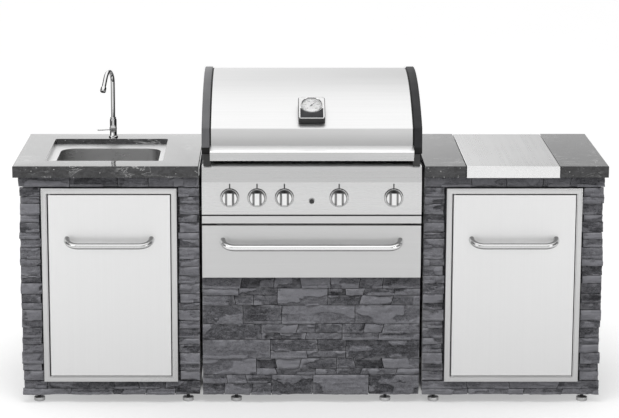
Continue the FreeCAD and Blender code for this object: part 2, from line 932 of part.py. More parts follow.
tap = new_body("tap_turning")
turned(tap, [
    ("0", "-tap_shank_length-tap_tail_length"),
    ("tap_tail/2", "-tap_shank_length-tap_tail_length"),
    ("tap_tail/2", "-tap_shank_length"),
    ("tap_shank/2", "-tap_shank_length"),
    ("tap_shank/2", "0"),
    ("tap_base/2", "0"),
    ("tap_base/2", "4"),
    ("tap_base/2-2", "6"),
    ("tap_body/2", "6"),
    ("tap_body/2", "tap_body_height"),
    ("0", "tap_body_height"),
])
hub = sketch(tap, "XZ_Plane", circles=[("0", "tap_hub_height", "tap_hub")])
pad(tap, hub, "tap_body/2+tap_hub_proud")
bind(tap, x=tap_x, y=tap_y, z="counter_height")
nut = cut(cylinder("Z", tap_x, tap_y, f"({frame_top}-tap_nut_height)", "tap_nut", "tap_nut_height"),
          cylinder("Z", tap_x, tap_y, f"({frame_top}-tap_nut_height-1)", "tap_shank+running_gap*2",
                   "tap_nut_height+2"))
solid(group(tap, nut), "tap_body")

spout_base = "(tap_body_height+running_gap)"
arch = "(spout_reach/2)"
rise = f"(spout_top-spout_tube/2-{arch})"
way = [
    Part.LineSegment(Vector(0, value(spout_base), 0), Vector(0, value(rise), 0)),
    Part.Arc(Vector(0, value(rise), 0), Vector(value(arch), value(rise) + value(arch), 0),
             Vector(2 * value(arch), value(rise), 0)),
    Part.LineSegment(Vector(2 * value(arch), value(rise), 0),
                     Vector(2 * value(arch), value(f"{rise}-spout_drop"), 0)),
]
spout = new_body("spout_tube")
path = spout.newObject("Sketcher::SketchObject", "spout_path")
plane = next(item for item in spout.Origin.OriginFeatures if item.Role == "XZ_Plane")
path.AttachmentSupport = [(plane, "")]
path.MapMode = "FlatFace"
for piece in way:
    path.addGeometry(piece, False)
ring = sketch(spout, "XY_Plane", circles=[("0", "0", "spout_tube")], at=spout_base)
pipe = spout.newObject("PartDesign::AdditivePipe", "spout_pipe")
doc.recompute()
pipe.Profile = ring
pipe.Spine = (path, ["Edge1", "Edge2", "Edge3"])
collar = sketch(spout, "XY_Plane", circles=[("0", "0", "tap_body-4")], at=spout_base)
pad(spout, collar, "spout_collar")
mouth = f"({rise}-spout_drop-aerator_length)"
tip = sketch(spout, "XY_Plane", circles=[("spout_reach", "0", "aerator")], at=mouth)
pad(spout, tip, "aerator_length+4")
bore = sketch(spout, "XY_Plane", circles=[("spout_reach", "0", "aerator-5")], at=mouth)
pocket(spout, bore, "10", reversed=True)
spout.Placement.Rotation = Rotation(Vector(0, 0, 1), -90 - value("spout_turn"))
bind(spout, x=tap_x, y=tap_y, z="counter_height")
solid(spout, "tap_spout")

hub_face = f"({tap_y}-tap_body/2-tap_hub_proud)"
lever_y = f"({hub_face}-running_gap-lever_hub/2)"
lever_z = "(counter_height+tap_hub_height)"
lever = join(
    cylinder("Y", tap_x, f"{hub_face}-running_gap-lever_hub", lever_z, "tap_hub-4", "lever_hub"),
    cylinder("X", f"{tap_x}-lever_length", lever_y, lever_z, "lever_rod", "lever_length"),
)
solid(lever, "tap_lever")


# Cabinet doors: a frame with a flange and a jamb, a folded door pan, a bar handle and two pins

frame_top_z = "(frame_base+frame_height)"
door_x = "(frame_width/2-frame_flange-frame_return-door_gap)"
door_z = ("frame_base+frame_flange+frame_return+door_gap",
          f"{frame_top_z}-frame_flange-frame_return-door_gap")
pin_x = f"(-{door_x}+door_pin_inset)"
pin_y = f"({door_face}+door_pin_inset)"


def door_frame(side, name):
    """Flange around the doorway and, behind it, the jamb that the door closes into."""
    body = new_body(name)
    flange = "(frame_width/2)"
    jamb = "(frame_width/2-frame_flange)"
    way = f"({jamb}-frame_return)"
    ring = sketch(body, "XZ_Plane", rectangle((f"-{flange}", flange), ("frame_base", frame_top_z)),
                  at=f"-({door_face})")
    pad(body, ring, f"{board_front}-{door_face}", reversed=True)
    soften(body, "1.5", lambda edge: abs(edge.BoundBox.YMax - value(door_face)) < 0.01, "Chamfer")
    inner_ring = sketch(body, "XZ_Plane", rectangle((f"-{jamb}", jamb),
                        ("frame_base+frame_flange", f"{frame_top_z}-frame_flange")), at=f"-({board_front})")
    pad(body, inner_ring, f"frame_depth+{door_face}-{board_front}", reversed=True)
    step = sketch(body, "XZ_Plane", rectangle((f"-{jamb}", jamb),
                  ("frame_base+frame_flange", f"{frame_top_z}-frame_flange")), at=f"-({door_face})")
    pocket(body, step, "frame_lip")
    opening = sketch(body, "XZ_Plane", rectangle((f"-{way}", way),
                     ("frame_base+frame_flange+frame_return", f"{frame_top_z}-frame_flange-frame_return")),
                     at=f"-({door_face})")
    pocket(body, opening, "frame_depth+1")
    bind(body, x=f"{side}*{door_centre}")
    return solid(body, name)


def door_panel(side, name):
    """A folded pan with returned edges, drilled top and bottom for its pins."""
    body = new_body(name)
    outline = [
        (f"-{door_x}+door_pin_inset", door_face),
        (door_x, door_face),
        (door_x, f"{door_face}+door_thick"),
        (f"-{door_x}", f"{door_face}+door_thick"),
        (f"-{door_x}", f"{door_face}+door_pin_inset", "door_pin_inset", "right"),
    ]
    pad(body, sketch(body, "XY_Plane", outline, at=door_z[0]), f"{door_z[1]}-({door_z[0]})")
    inside = rectangle((f"-{door_x}+door_pin_inset*2", f"{door_x}-sheet_steel"),
                       (f"{door_z[0]}+sheet_steel", f"{door_z[1]}-sheet_steel"))
    pan = sketch(body, "XZ_Plane", inside, at=f"-({door_face}+door_thick)")
    pocket(body, pan, "door_thick-sheet_steel", reversed=True)
    for level, turn in ((door_z[0], True), (door_z[1], False)):
        hole = sketch(body, "XY_Plane", circles=[(pin_x, pin_y, "door_pin+running_gap*2")], at=level)
        pocket(body, hole, "door_pin_length+1", reversed=turn)
    bind(body, x=f"{side}*{door_centre}")
    return solid(body, name)


def bar_handle(name, x, face, height, length, diameter):
    """A tube bent at both ends that stands off its panel and droops a little."""
    body = new_body(name + "_tube")
    half_length = f"({length}/2-{diameter}/2)"
    path = body.newObject("Sketcher::SketchObject", name + "_path")
    plane = next(item for item in body.Origin.OriginFeatures if item.Role == "XY_Plane")
    path.AttachmentSupport = [(plane, "")]
    path.MapMode = "FlatFace"
    bend = value("bar_bend")
    reach = value("bar_reach") / math.cos(math.radians(value("bar_droop")))
    end = value(half_length)
    sunk = value(diameter)
    corner = bend * (1 - math.sqrt(0.5))
    for piece in (
        Part.LineSegment(Vector(-end, sunk, 0), Vector(-end, bend - reach, 0)),
        Part.Arc(Vector(-end, bend - reach, 0), Vector(-end + corner, corner - reach, 0),
                 Vector(-end + bend, -reach, 0)),
        Part.LineSegment(Vector(-end + bend, -reach, 0), Vector(end - bend, -reach, 0)),
        Part.Arc(Vector(end - bend, -reach, 0), Vector(end - corner, corner - reach, 0),
                 Vector(end, bend - reach, 0)),
        Part.LineSegment(Vector(end, bend - reach, 0), Vector(end, sunk, 0)),
    ):
        path.addGeometry(piece, False)
    ring = sketch(body, "XZ_Plane", circles=[(f"-{half_length}", "0", diameter)], at=f"-{diameter}")
    doc.recompute()
    pipe = body.newObject("PartDesign::AdditivePipe", name + "_pipe")
    pipe.Profile = ring
    pipe.Spine = (path, [f"Edge{number}" for number in range(1, 6)])
    body.Placement.Rotation = Rotation(Vector(1, 0, 0), value("bar_droop"))
    bind(body, x=x, y=face, z=height)
    behind = box((f"{x}-{length}", f"{x}+{length}"), (face, f"{face}+{diameter}*3"),
                 (f"{height}-100", f"{height}+100"))
    return solid(cut(body, behind), name)


door_frame(-1, "left_door_frame")
door_panel(-1, "left_door_panel")
door_bar = (door_face, "door_bar_height", "door_bar_length", "door_bar")
bar_handle("left_door_handle", f"(-{door_centre})", *door_bar)
door_frame(1, "right_door_frame")
door_panel(1, "right_door_panel")
bar_handle("right_door_handle", door_centre, *door_bar)
pins = []
for side in (-1, 1):
    x = f"({side}*{door_centre}+{pin_x})"
    for start in (f"{door_z[0]}-door_gap", f"{door_z[1]}-door_pin_length"):
        pins.append(cylinder("Z", x, pin_y, start, "door_pin", "door_gap+door_pin_length"))
solid(group(*pins), "door_hinge_pins")


# Side burner: a deck with a well let into the right cabinet, under a hinged lid

deck_top = f"({frame_top}+sheet_steel)"
burner_right = "(burner_left+burner_width)"
burner_x = "(burner_left+burner_width/2)"
burner_y = f"({front}+(well_front+well_back)/2)"
well_x = (f"{burner_x}-well_width/2", f"{burner_x}+well_width/2")
well_y = (f"{front}+well_front", f"{front}+well_back")
deck_y = (f"{front}+2", f"{front}+hinge_back-15")
deck_x = ("burner_left+lid_gap", f"{burner_right}-lid_gap")
hinge_y = f"({front}+hinge_back)"
hinge_z = "(counter_height-hinge_drop)"
well_floor = f"({deck_top}-well_depth)"

tray = new_body("burner_tray")
pad(tray, sketch(tray, "XY_Plane", rectangle(deck_x, deck_y), at=frame_top), "sheet_steel")
apron = rectangle(deck_x, (deck_y[0], f"{deck_y[0]}+sheet_steel"))
pad(tray, sketch(tray, "XY_Plane", apron, at=f"{edge_bottom}+2"), "edge_height-slab-2")
outer_x = (f"{well_x[0]}-sheet_steel", f"{well_x[1]}+sheet_steel")
outer_y = (f"{well_y[0]}-sheet_steel", f"{well_y[1]}+sheet_steel")
pad(tray, sketch(tray, "XY_Plane", rounded(outer_x, outer_y, "well_round+sheet_steel"), at=deck_top),
    "well_depth+sheet_steel", reversed=True)
pocket(tray, sketch(tray, "XY_Plane", rounded(well_x, well_y, "well_round"), at=deck_top), "well_depth")
side_knob_y = f"({front}+side_knob_back)"
knob_hole = sketch(tray, "XY_Plane", circles=[(burner_x, side_knob_y, "12")], at=deck_top)
pocket(tray, knob_hole, "sheet_steel")
ear = "hinge_pin*0.6"
ears = []
for x in (("burner_left+20", "burner_left+32"), (f"{burner_right}-32", f"{burner_right}-20")):
    ears.append(box(x, (f"{hinge_y}-20", f"{hinge_y}+{ear}"), (frame_top, f"{hinge_z}+{ear}")))
ears.append(cylinder("X", "(burner_left+20)", hinge_y, hinge_z, "hinge_pin", "burner_width-40"))
burner_tray = join(tray, *ears)

ring_burner = new_body("ring_burner")
turned(ring_burner, [
    ("0", "0"),
    ("ring_burner/4", "0"),
    ("ring_burner/4", "ring_burner_height*0.42"),
    ("ring_burner/2", "ring_burner_height*0.51"),
    ("ring_burner/2", "ring_burner_height*0.74"),
    ("ring_burner/2-5", "ring_burner_height*0.79"),
    ("ring_burner/2-5", "ring_burner_height*0.88"),
    ("ring_burner/2-12", "ring_burner_height"),
    ("0", "ring_burner_height"),
])
bind(ring_burner, x=burner_x, y=burner_y, z=well_floor)
solid(ring_burner, "side_burner_head")

grate = []
grate_z = (deck_top, f"{deck_top}+burner_grate_thick")
grate_x = (f"{well_x[0]}-burner_grate_bar", f"{well_x[1]}+burner_grate_bar")
grate_y = (f"{burner_y}-burner_grate_half", f"{burner_y}+burner_grate_half")
for x in ((grate_x[0], well_x[0]), (well_x[1], grate_x[1])):
    grate.append(box(x, grate_y, grate_z))
for y in ((grate_y[0], f"{grate_y[0]}+burner_grate_bar"), (f"{grate_y[1]}-burner_grate_bar", grate_y[1])):
    grate.append(box(grate_x, y, grate_z))
finger_z = (grate_z[0], f"{grate_z[1]}+2")
finger_end = "(burner_grate_half-burner_grate_bar)"
for x in (f"{burner_x}-burner_grate_half/2", burner_x, f"{burner_x}+burner_grate_half/2"):
    for y in ((f"-{finger_end}", "-22"), ("22", finger_end)):
        grate.append(box((f"{x}-burner_grate_bar/3", f"{x}+burner_grate_bar/3"),
                         (f"{burner_y}+{y[0]}", f"{burner_y}+{y[1]}"), finger_z))
for x in ((well_x[0], f"{burner_x}-24"), (f"{burner_x}+24", well_x[1])):
    grate.append(box(x, (f"{burner_y}-burner_grate_bar/3", f"{burner_y}+burner_grate_bar/3"), finger_z))
solid(join(*grate), "side_burner_grate")

knob = new_body("side_knob")
knob_radius = "(side_knob_diameter/2)"
turned(knob, [
    ("0", "1"),
    (knob_radius, "1"),
    (f"{knob_radius}-2", "9"),
    (f"{knob_radius}-3", "10"),
    ("0", "10"),
])
grip_x = ("-side_knob_diameter*0.1", "side_knob_diameter*0.1")
grip = sketch(knob, "XY_Plane", rectangle(grip_x, (f"2-{knob_radius}", f"{knob_radius}-2")), at="9")
pad(knob, grip, "5")
bind(knob, x=burner_x, y=side_knob_y, z=deck_top)
side_knob_bore = cylinder("Z", burner_x, side_knob_y, deck_top, "valve_stem+running_gap*2", "9")
solid(cut(knob, side_knob_bore), "side_burner_knob")
side_valve = join(
    cylinder("Z", burner_x, side_knob_y, f"{frame_top}-14", "valve_stem", "14+sheet_steel+8"),
    box((f"{burner_x}-side_valve/2", f"{burner_x}+side_valve/2"),
        (f"{side_knob_y}-side_valve/2", f"{side_knob_y}+side_valve/2"), (f"{frame_top}-40", frame_top)),
)
solid(group(burner_tray, side_valve), "side_burner_tray")

lid = new_body("burner_lid")
lid_x = ("burner_left", burner_right)
lid_y = (f"{front}-lid_front", f"{hinge_y}+8")
lid_top = "(counter_height+1)"
pad(lid, sketch(lid, "XY_Plane", rectangle(lid_x, lid_y), at=f"{lid_top}-lid_side_lip"), "lid_side_lip")
lid_lip = rectangle(lid_x, (lid_y[0], f"{lid_y[0]}+sheet_steel"))
pad(lid, sketch(lid, "XY_Plane", lid_lip, at=f"{edge_bottom}+1"), f"{lid_top}-{edge_bottom}-5")
soften(lid, "lid_round", lambda edge: flat_at(lid_top)(edge))
lid_hollow = rectangle((f"{lid_x[0]}+sheet_steel", f"{lid_x[1]}-sheet_steel"),
                       (f"{lid_y[0]}+sheet_steel", f"{lid_y[1]}+1"))
pocket(lid, sketch(lid, "XY_Plane", lid_hollow, at=f"{lid_top}-lid_side_lip"), "lid_side_lip-sheet_steel",
       reversed=True)
lugs = []
for x in (("burner_left+38", "burner_left+48"), (f"{burner_right}-48", f"{burner_right}-38")):
    lugs.append(cut(
        box(x, (f"{hinge_y}-hinge_pin", f"{hinge_y}+hinge_pin"),
            (f"{hinge_z}-hinge_pin", f"{lid_top}-sheet_steel")),
        cylinder("X", f"({x[0]}-1)", hinge_y, hinge_z, "hinge_pin+running_gap*2", "12"),
    ))
solid(join(lid, *lugs), "side_burner_lid")


# Grill, fixed parts

firebox_half = f"({middle}-sheet_steel-tube-firebox_gap)"
panel_top_back = f"({panel_face}+panel_lean+panel_round)"
fire_front = f"({front}+firebox_front)"
fire_back = f"({front}+firebox_back)"
deck_under = "(grill_deck-deck_sheet)"
steps = "(tamer_step+grate_step)"

firebox = new_body("firebox_shell")
outside = [
    (f"{fire_front}+{steps}", "firebox_bottom"),
    (f"{fire_back}-{steps}", "firebox_bottom"),
    (f"{fire_back}-{steps}", "tamer_ledge-firebox_sheet"),
    (f"{fire_back}-grate_step", "tamer_ledge-firebox_sheet"),
    (f"{fire_back}-grate_step", "grate_ledge-firebox_sheet"),
    (fire_back, "grate_ledge-firebox_sheet"),
    (fire_back, "back_wall_top"),
    (f"{fire_back}-firebox_sheet", "back_wall_top"),
    (f"{fire_back}-firebox_sheet", "grill_deck"),
    (fire_front, "grill_deck"),
    (fire_front, "grate_ledge-firebox_sheet"),
    (f"{fire_front}+grate_step", "grate_ledge-firebox_sheet"),
    (f"{fire_front}+grate_step", "tamer_ledge-firebox_sheet"),
    (f"{fire_front}+{steps}", "tamer_ledge-firebox_sheet"),
]
pad(firebox, sketch(firebox, "YZ_Plane", outside), f"{firebox_half}*2", middle_plane=True)
deck = rectangle((f"-{middle}+1", f"{middle}-1"), (panel_top_back, f"{panel_back}"))
pad(firebox, sketch(firebox, "XY_Plane", deck, at=deck_under), "deck_sheet")
inside = [
    (f"{fire_front}+{steps}+firebox_sheet", "firebox_bottom+firebox_sheet"),
    (f"{fire_back}-{steps}-firebox_sheet", "firebox_bottom+firebox_sheet"),
    (f"{fire_back}-{steps}-firebox_sheet", "tamer_ledge"),
    (f"{fire_back}-grate_step-firebox_sheet", "tamer_ledge"),
    (f"{fire_back}-grate_step-firebox_sheet", "grate_ledge"),
    (f"{fire_back}-firebox_sheet", "grate_ledge"),
    (f"{fire_back}-firebox_sheet", "grill_deck+1"),
    (f"{fire_front}+firebox_sheet", "grill_deck+1"),
    (f"{fire_front}+firebox_sheet", "grate_ledge"),
    (f"{fire_front}+grate_step+firebox_sheet", "grate_ledge"),
    (f"{fire_front}+grate_step+firebox_sheet", "tamer_ledge"),
    (f"{fire_front}+{steps}+firebox_sheet", "tamer_ledge"),
]
pocket(firebox, sketch(firebox, "YZ_Plane", inside), f"{firebox_half}*2-firebox_sheet*2", middle_plane=True)
slot_low = "(knob_height-burner_tube/2-running_gap)"
slot = rectangle((f"-{firebox_half}+30", f"{firebox_half}-30"), (slot_low, f"{slot_low}+burner_tube+4"))
pocket(firebox, sketch(firebox, "XZ_Plane", slot, at=f"-({fire_front}+{steps}-5)"), "firebox_sheet+10")
drain_slot = rectangle(("-120", "120"), (f"{fire_front}+220", f"{fire_front}+270"))
pocket(firebox, sketch(firebox, "XY_Plane", drain_slot, at="firebox_bottom+firebox_sheet"), "firebox_sheet")
solid(firebox, "firebox")

# The panel's face is upright up to its crease, leans back above it and turns into the deck
panel = new_body("control_panel_shell")
lean_top = "(grill_deck-panel_round)"
outline = [
    (panel_face, "panel_bottom"),
    (f"{panel_face}+panel_return", "panel_bottom"),
    (f"{panel_face}+panel_return", "panel_bottom+sheet_steel"),
    (f"{panel_face}+sheet_steel", "panel_bottom+sheet_steel"),
    (f"{panel_face}+sheet_steel", "panel_flat_top"),
    (f"{panel_face}+panel_lean+sheet_steel", lean_top, "panel_round-sheet_steel", "left"),
    (panel_top_back, "grill_deck-sheet_steel"),
    (panel_top_back, "grill_deck", "panel_round", "right"),
    (f"{panel_face}+panel_lean", lean_top),
    (panel_face, "panel_flat_top"),
]
pad(panel, sketch(panel, "YZ_Plane", outline), "middle_width-2", middle_plane=True)
knob_places = {"1": "-3*knob_pitch", "2": "-2*knob_pitch", "3": "-knob_pitch", "4": "knob_pitch",
               "5": "3*knob_pitch"}
circles = [(x, "knob_height", "valve_stem+4") for x in knob_places.values()]
circles.append(("0", "button_height", "button_diameter+running_gap*2"))
holes = sketch(panel, "XZ_Plane", circles=circles, at=f"-({panel_face})")
pocket(panel, holes, "sheet_steel")
cheeks = [box(beside(side, f"{middle}-1-sheet_steel*2", f"{middle}-1-sheet_steel"),
              (f"{panel_face}+sheet_steel", panel_top_back), ("panel_bottom+sheet_steel", "panel_flat_top"))
          for side in (-1, 1)]
solid(join(panel, *cheeks), "control_panel")

bezels = []
bezel_y = f"({panel_face}-bezel_thick)"
for x in knob_places.values():
    disc = cylinder("Y", f"({x})", bezel_y, "knob_height", "knob_bezel", "bezel_thick")
    dish = cylinder("Y", f"({x})", f"({bezel_y}-1)", "knob_height", "knob_diameter+2", "3")
    hole = cylinder("Y", f"({x})", f"({bezel_y}-1)", "knob_height", "valve_stem+4", "bezel_thick+2")
    bezels.append(cut(disc, dish, hole))
button_bezel = cut(
    cylinder("Y", "0", f"({panel_face}-3)", "button_height", "button_diameter+7", "3"),
    cylinder("Y", "0", f"({panel_face}-4)", "button_height", "button_diameter+running_gap*2", "5"),
)
button_cup = cut(
    cylinder("Y", "0", f"({panel_face}+sheet_steel)", "button_height", "button_diameter+8", "30"),
    cylinder("Y", "0", f"({panel_face}+sheet_steel-1)", "button_height",
             "button_diameter+running_gap*2", "28"),
)
solid(group(*bezels, button_bezel, button_cup), "panel_bezels")
button = new_body("igniter_cap")
turned(button, [
    ("0", "0"),
    ("button_diameter/2-1.5", "0"),
    ("button_diameter/2", "1.5"),
    ("button_diameter/2", "button_proud+3+14"),
    ("0", "button_proud+3+14"),
])
button.Placement.Rotation = turns["Y"]
bind(button, x="0", y=f"{panel_face}-3-button_proud", z="button_height")
solid(button, "igniter_button")

knob_back = f"({bezel_y}+2-running_gap)"


def grill_knob(number, x):
    """A turned knob with a raised grip bar across it, bored for the valve's stem."""
    body = new_body(f"knob_{number}")
    turned(body, [
        ("0", "0"),
        ("knob_diameter/2", "0"),
        ("knob_diameter/2", "4"),
        ("knob_diameter/2-3", "knob_depth*0.42"),
        ("knob_diameter/2-5", "knob_depth*0.5"),
        ("0", "knob_depth*0.5"),
    ])
    grip = sketch(body, "XY_Plane", rounded(("-knob_grip/2", "knob_grip/2"),
                  ("-knob_diameter/2+4", "knob_diameter/2-4"), "6"), at="knob_depth*0.4")
    pad(body, grip, "knob_depth*0.6", taper="-5")
    soften(body, "2.5", flat_at("knob_depth"))
    bore = sketch(body, "XY_Plane", circles=[("0", "0", "valve_stem+running_gap*2")])
    pocket(body, bore, "knob_depth*0.6", reversed=True)
    body.Placement.Rotation = Rotation(Vector(1, 0, 0), 90)
    bind(body, x=x, y=knob_back, z="knob_height")
    return solid(body, f"burner_knob_{number}")


for number, x in knob_places.items():
    grill_knob(number, x)

valve_y = f"({panel_face}+valve_back)"
pipe_y = f"({valve_y}+valve_body/2)"
pieces = []
for number, x in knob_places.items():
    body_x = (f"{x}-valve_body/2", f"{x}+valve_body/2")
    pieces.append(box(body_x, (valve_y, f"{valve_y}+valve_body"),
                      ("knob_height-valve_height/2", "knob_height+valve_height/2")))
    pieces.append(cylinder("Y", f"({x})", f"({knob_back}-knob_depth*0.5)", "knob_height", "valve_stem",
                           f"{valve_y}-{knob_back}+knob_depth*0.5+1"))
    if number != "2":
        pieces.append(cylinder("Y", f"({x})", f"({valve_y}+valve_body-1)", "knob_height", "valve_outlet",
                               f"{fire_front}-({valve_y}+valve_body)+5"))
pipe_z = "(knob_height-manifold)"
pieces.append(cylinder("X", "(-3*knob_pitch-40)", pipe_y, pipe_z, "manifold", "knob_pitch*6+80"))
pieces.append(cylinder("X", "(3*knob_pitch+36)", pipe_y, pipe_z, "manifold+8", "14"))
for x in ("-knob_pitch*3.35", "knob_pitch*3.28"):
    pieces.append(box((f"{x}-6", f"{x}+6"), (f"{panel_face}+26", f"{pipe_y}"),
                      ("panel_bottom+sheet_steel", "knob_height-manifold")))
    pieces.append(box((f"{x}-6", f"{x}+6"), (f"{panel_face}+10", f"{panel_face}+27"),
                      ("panel_bottom+sheet_steel", "panel_bottom+sheet_steel+4")))
solid(join(*pieces), "gas_manifold")

tube_start = f"({fire_front}-2)"
burners = []
for x in ("-3*knob_pitch", "-knob_pitch", "knob_pitch", "3*knob_pitch"):
    body = new_body("main_burner")
    turned(body, [
        ("6", "0"),
        ("burner_tube/2", "0"),
        ("burner_tube/2", "30"),
        ("burner_tube/2-4", "45"),
        ("burner_tube/2-4", "80"),
        ("burner_tube/2", "110"),
        ("burner_tube/2", f"{fire_back}-{fire_front}-{steps}-firebox_sheet+2-running_gap"),
        ("0", f"{fire_back}-{fire_front}-{steps}-firebox_sheet+2-running_gap"),
        ("0", "60"),
        ("6", "60"),
    ])
    body.Placement.Rotation = turns["Y"]
    bind(body, x=x, y=tube_start, z="knob_height")
    burners.append(body)
solid(group(*burners), "main_burners")

tamers = []
tamer_y = (f"{fire_front}+grate_step+firebox_sheet+1", f"{fire_back}-grate_step-firebox_sheet-1")
for x in ("-3*knob_pitch", "-knob_pitch", "knob_pitch", "3*knob_pitch"):
    body = new_body("flame_tamer")
    roof = [
        ("-tamer_half", "0"),
        ("-tamer_half*0.96", "0"),
        ("0", "tamer_rise"),
        ("tamer_half*0.96", "0"),
        ("tamer_half", "0"),
        ("0", "tamer_rise+tamer_sheet"),
    ]
    drawing = sketch(body, "XZ_Plane", roof, at=f"-({tamer_y[0]})")
    pad(body, drawing, f"{tamer_y[1]}-({tamer_y[0]})", reversed=True)
    bind(body, x=x, z="tamer_ledge")
    tamers.append(body)
solid(group(*tamers), "flame_tamers")

grate_span = f"(({firebox_half}-firebox_sheet)*2/3)"
grate_y = (f"{fire_front}+firebox_sheet+0.5", f"{fire_back}-firebox_sheet-0.5")
bar_step = value("grate_bar+grate_gap")
half_bar = value("grate_bar/2")
grates = []
for number in (-1, 0, 1):
    centre = number * value(grate_span)
    half_span = value(grate_span) / 2 - 0.5
    y = (value(grate_y[0]), value(grate_y[1]))
    z = (value("grate_ledge"), value("grate_ledge+grate_thick"))
    bars = int((2 * half_span - 20) / bar_step)
    first = centre - bars * bar_step / 2
    webs = [block((centre - half_span, centre + half_span), (place, place + 12), z)
            for place in (y[0], (y[0] + y[1]) / 2 - 6, y[1] - 12)]
    sides = [block((place, place + 9), y, z) for place in (centre - half_span, centre + half_span - 9)]
    places = [first + number * bar_step for number in range(1, bars)]
    inside = [block((place - half_bar, place + half_bar), y, z) for place in places]
    grates.append(webs[0].multiFuse(webs[1:] + sides + inside).removeSplitter())
solid(shaped(Part.makeCompound(grates)), "cooking_grates")

rack = []
rack_z = ("(grill_deck+rack_height)", "(grill_deck+rack_height+rack_rod)")
rack_y = (f"({front}+rack_front)", f"({front}+rack_back)")
rack_end = f"({firebox_half}+rack_rod)"
for x in ((f"-{rack_end}", f"-{firebox_half}"), (firebox_half, rack_end)):
    for y in rack_y:
        rack.append(box(x, (y, f"{y}+rack_rod"), ("grill_deck", rack_z[1])))
    rack.append(box(x, (rack_y[0], f"{rack_y[1]}+rack_rod"), rack_z))
rack_rods = 8
for number in range(rack_rods):
    y = f"({rack_y[0]}+({rack_y[1]}-{rack_y[0]})*{number}/{rack_rods - 1})"
    rack.append(box((f"-{rack_end}", rack_end), (y, f"{y}+rack_rod"), rack_z))
solid(join(*rack), "warming_rack")

rear_front = f"({fire_back}-firebox_sheet-rear_burner_depth)"
rear_z = ("(grill_deck+rear_burner_low)", "(grill_deck+rear_burner_high)")
rear_box = box(("-rear_burner_half", "rear_burner_half"), (rear_front, f"{fire_back}-firebox_sheet"), rear_z)
rear_hollow = box(("-rear_burner_half+rear_burner_edge", "rear_burner_half-rear_burner_edge"),
                  (f"{rear_front}-1", f"{rear_front}+10"),
                  (f"{rear_z[0]}+rear_burner_edge", f"{rear_z[1]}-rear_burner_edge"))
solid(cut(rear_box, rear_hollow), "rear_burner")


# Drip tray and storage drawer, on rails between the posts

rail_inner = f"({middle_side}-tube)"
tray_half = f"({rail_inner}-tray_rail-tray_play)"
drawer_half = f"({rail_inner}-drawer_rail-running_gap)"
tray_base = "(drawer_top+tray_play)"
tray_top = f"({tray_base}+tray_depth)"
rails = []
for side in (-1, 1):
    rails.append(box(beside(side, f"{rail_inner}-drawer_rail", rail_inner),
                     (tube_front, tube_back),
                     ("drawer_box_bottom+drawer_rail_low",
                      "drawer_box_bottom+drawer_rail_low+drawer_rail_height")))
    rails.append(box(beside(side, f"{rail_inner}-tray_rail", rail_inner), (tube_front, tube_back),
                     (tray_base, f"{tray_top}-tray_ledge_thick-running_gap")))
solid(group(*rails), "slide_rails")

tray_front = f"({panel_face}+panel_return)"
tray_x = (f"-{tray_half}", tray_half)
pan = new_body("drip_pan")
pan_outline = rectangle(tray_x, (tray_front, f"{front}+tray_back"))
pad(pan, sketch(pan, "XY_Plane", pan_outline, at=tray_base), "tray_depth")
ledge = rectangle((f"-{tray_half}-tray_ledge", f"{tray_half}+tray_ledge"), (tray_front, f"{front}+tray_back"))
pad(pan, sketch(pan, "XY_Plane", ledge, at=f"{tray_top}-tray_ledge_thick"), "tray_ledge_thick")
well = rectangle((f"-{tray_half}+sheet_steel", f"{tray_half}-sheet_steel"),
                 (f"{tray_front}+sheet_steel", f"{front}+tray_back-sheet_steel"))
pocket(pan, sketch(pan, "XY_Plane", well, at=tray_top), "tray_depth-sheet_steel")
lip = box((f"-{middle}+1", f"{middle}-1"), (panel_face, tray_front), ("tray_lip_bottom", "tray_lip_top"))
lip_hollow = box((f"-{middle}+3", f"{middle}-3"), (f"{panel_face}+sheet_steel", f"{tray_front}-sheet_steel"),
                 ("tray_lip_bottom-1", "tray_lip_top-sheet_steel"))
solid(join(pan, cut(lip, lip_hollow)), "drip_tray")

drawer_back_face = f"({panel_face}+door_thick)"
front_panel = new_body("drawer_face")
pad(front_panel, sketch(front_panel, "XZ_Plane", rectangle((f"-{middle}+1", f"{middle}-1"),
    ("drawer_bottom", "drawer_top")), at=f"-({panel_face})"), "door_thick", reversed=True)
soften(front_panel, "1.5", lambda edge: abs(edge.BoundBox.YMax - value(panel_face)) < 0.01)
back_pan = sketch(front_panel, "XZ_Plane", rectangle((f"-{middle}+3", f"{middle}-3"),
                  ("drawer_bottom+sheet_steel", "drawer_top-sheet_steel")), at=f"-({drawer_back_face})")
pocket(front_panel, back_pan, "door_thick-sheet_steel", reversed=True)
solid(front_panel, "drawer_front")

drawer = new_body("drawer_shell")
drawer_x = (f"-{drawer_half}", drawer_half)
drawer_y = (f"{panel_face}+sheet_steel", f"{front}+drawer_box_back")
pad(drawer, sketch(drawer, "XY_Plane", rectangle(drawer_x, drawer_y), at="drawer_box_bottom"),
    "drawer_box_top-drawer_box_bottom")
drawer_hollow = rectangle((f"-{drawer_half}+sheet_steel", f"{drawer_half}-sheet_steel"),
                          (f"{drawer_y[0]}+sheet_steel", f"{drawer_y[1]}-sheet_steel"))
pocket(drawer, sketch(drawer, "XY_Plane", drawer_hollow, at="drawer_box_top"),
       "drawer_box_top-drawer_box_bottom-sheet_steel")
solid(drawer, "drawer_box")
bar_handle("drawer_handle", "(0)", panel_face, "drawer_bar_height", "drawer_bar_length", "drawer_bar")


# Hood: a bent skin between two cast end caps, a grip bar, its hinge and the thermometer

skin_half = f"({middle}-cap_side_gap-cap_width)"
skin_front = f"({front}+hood_front)"
crease = f"({front}+crease_back)"
crest = f"({front}+crest_back)"
hood_back = f"({crest}+hood_corner)"
skirt = "(crease_height-hood_bottom)"
notch_top = f"(hood_bottom+{skirt}*notch_share)"
notch_front = f"({skin_front}+({crease}-{skin_front})*notch_share)"

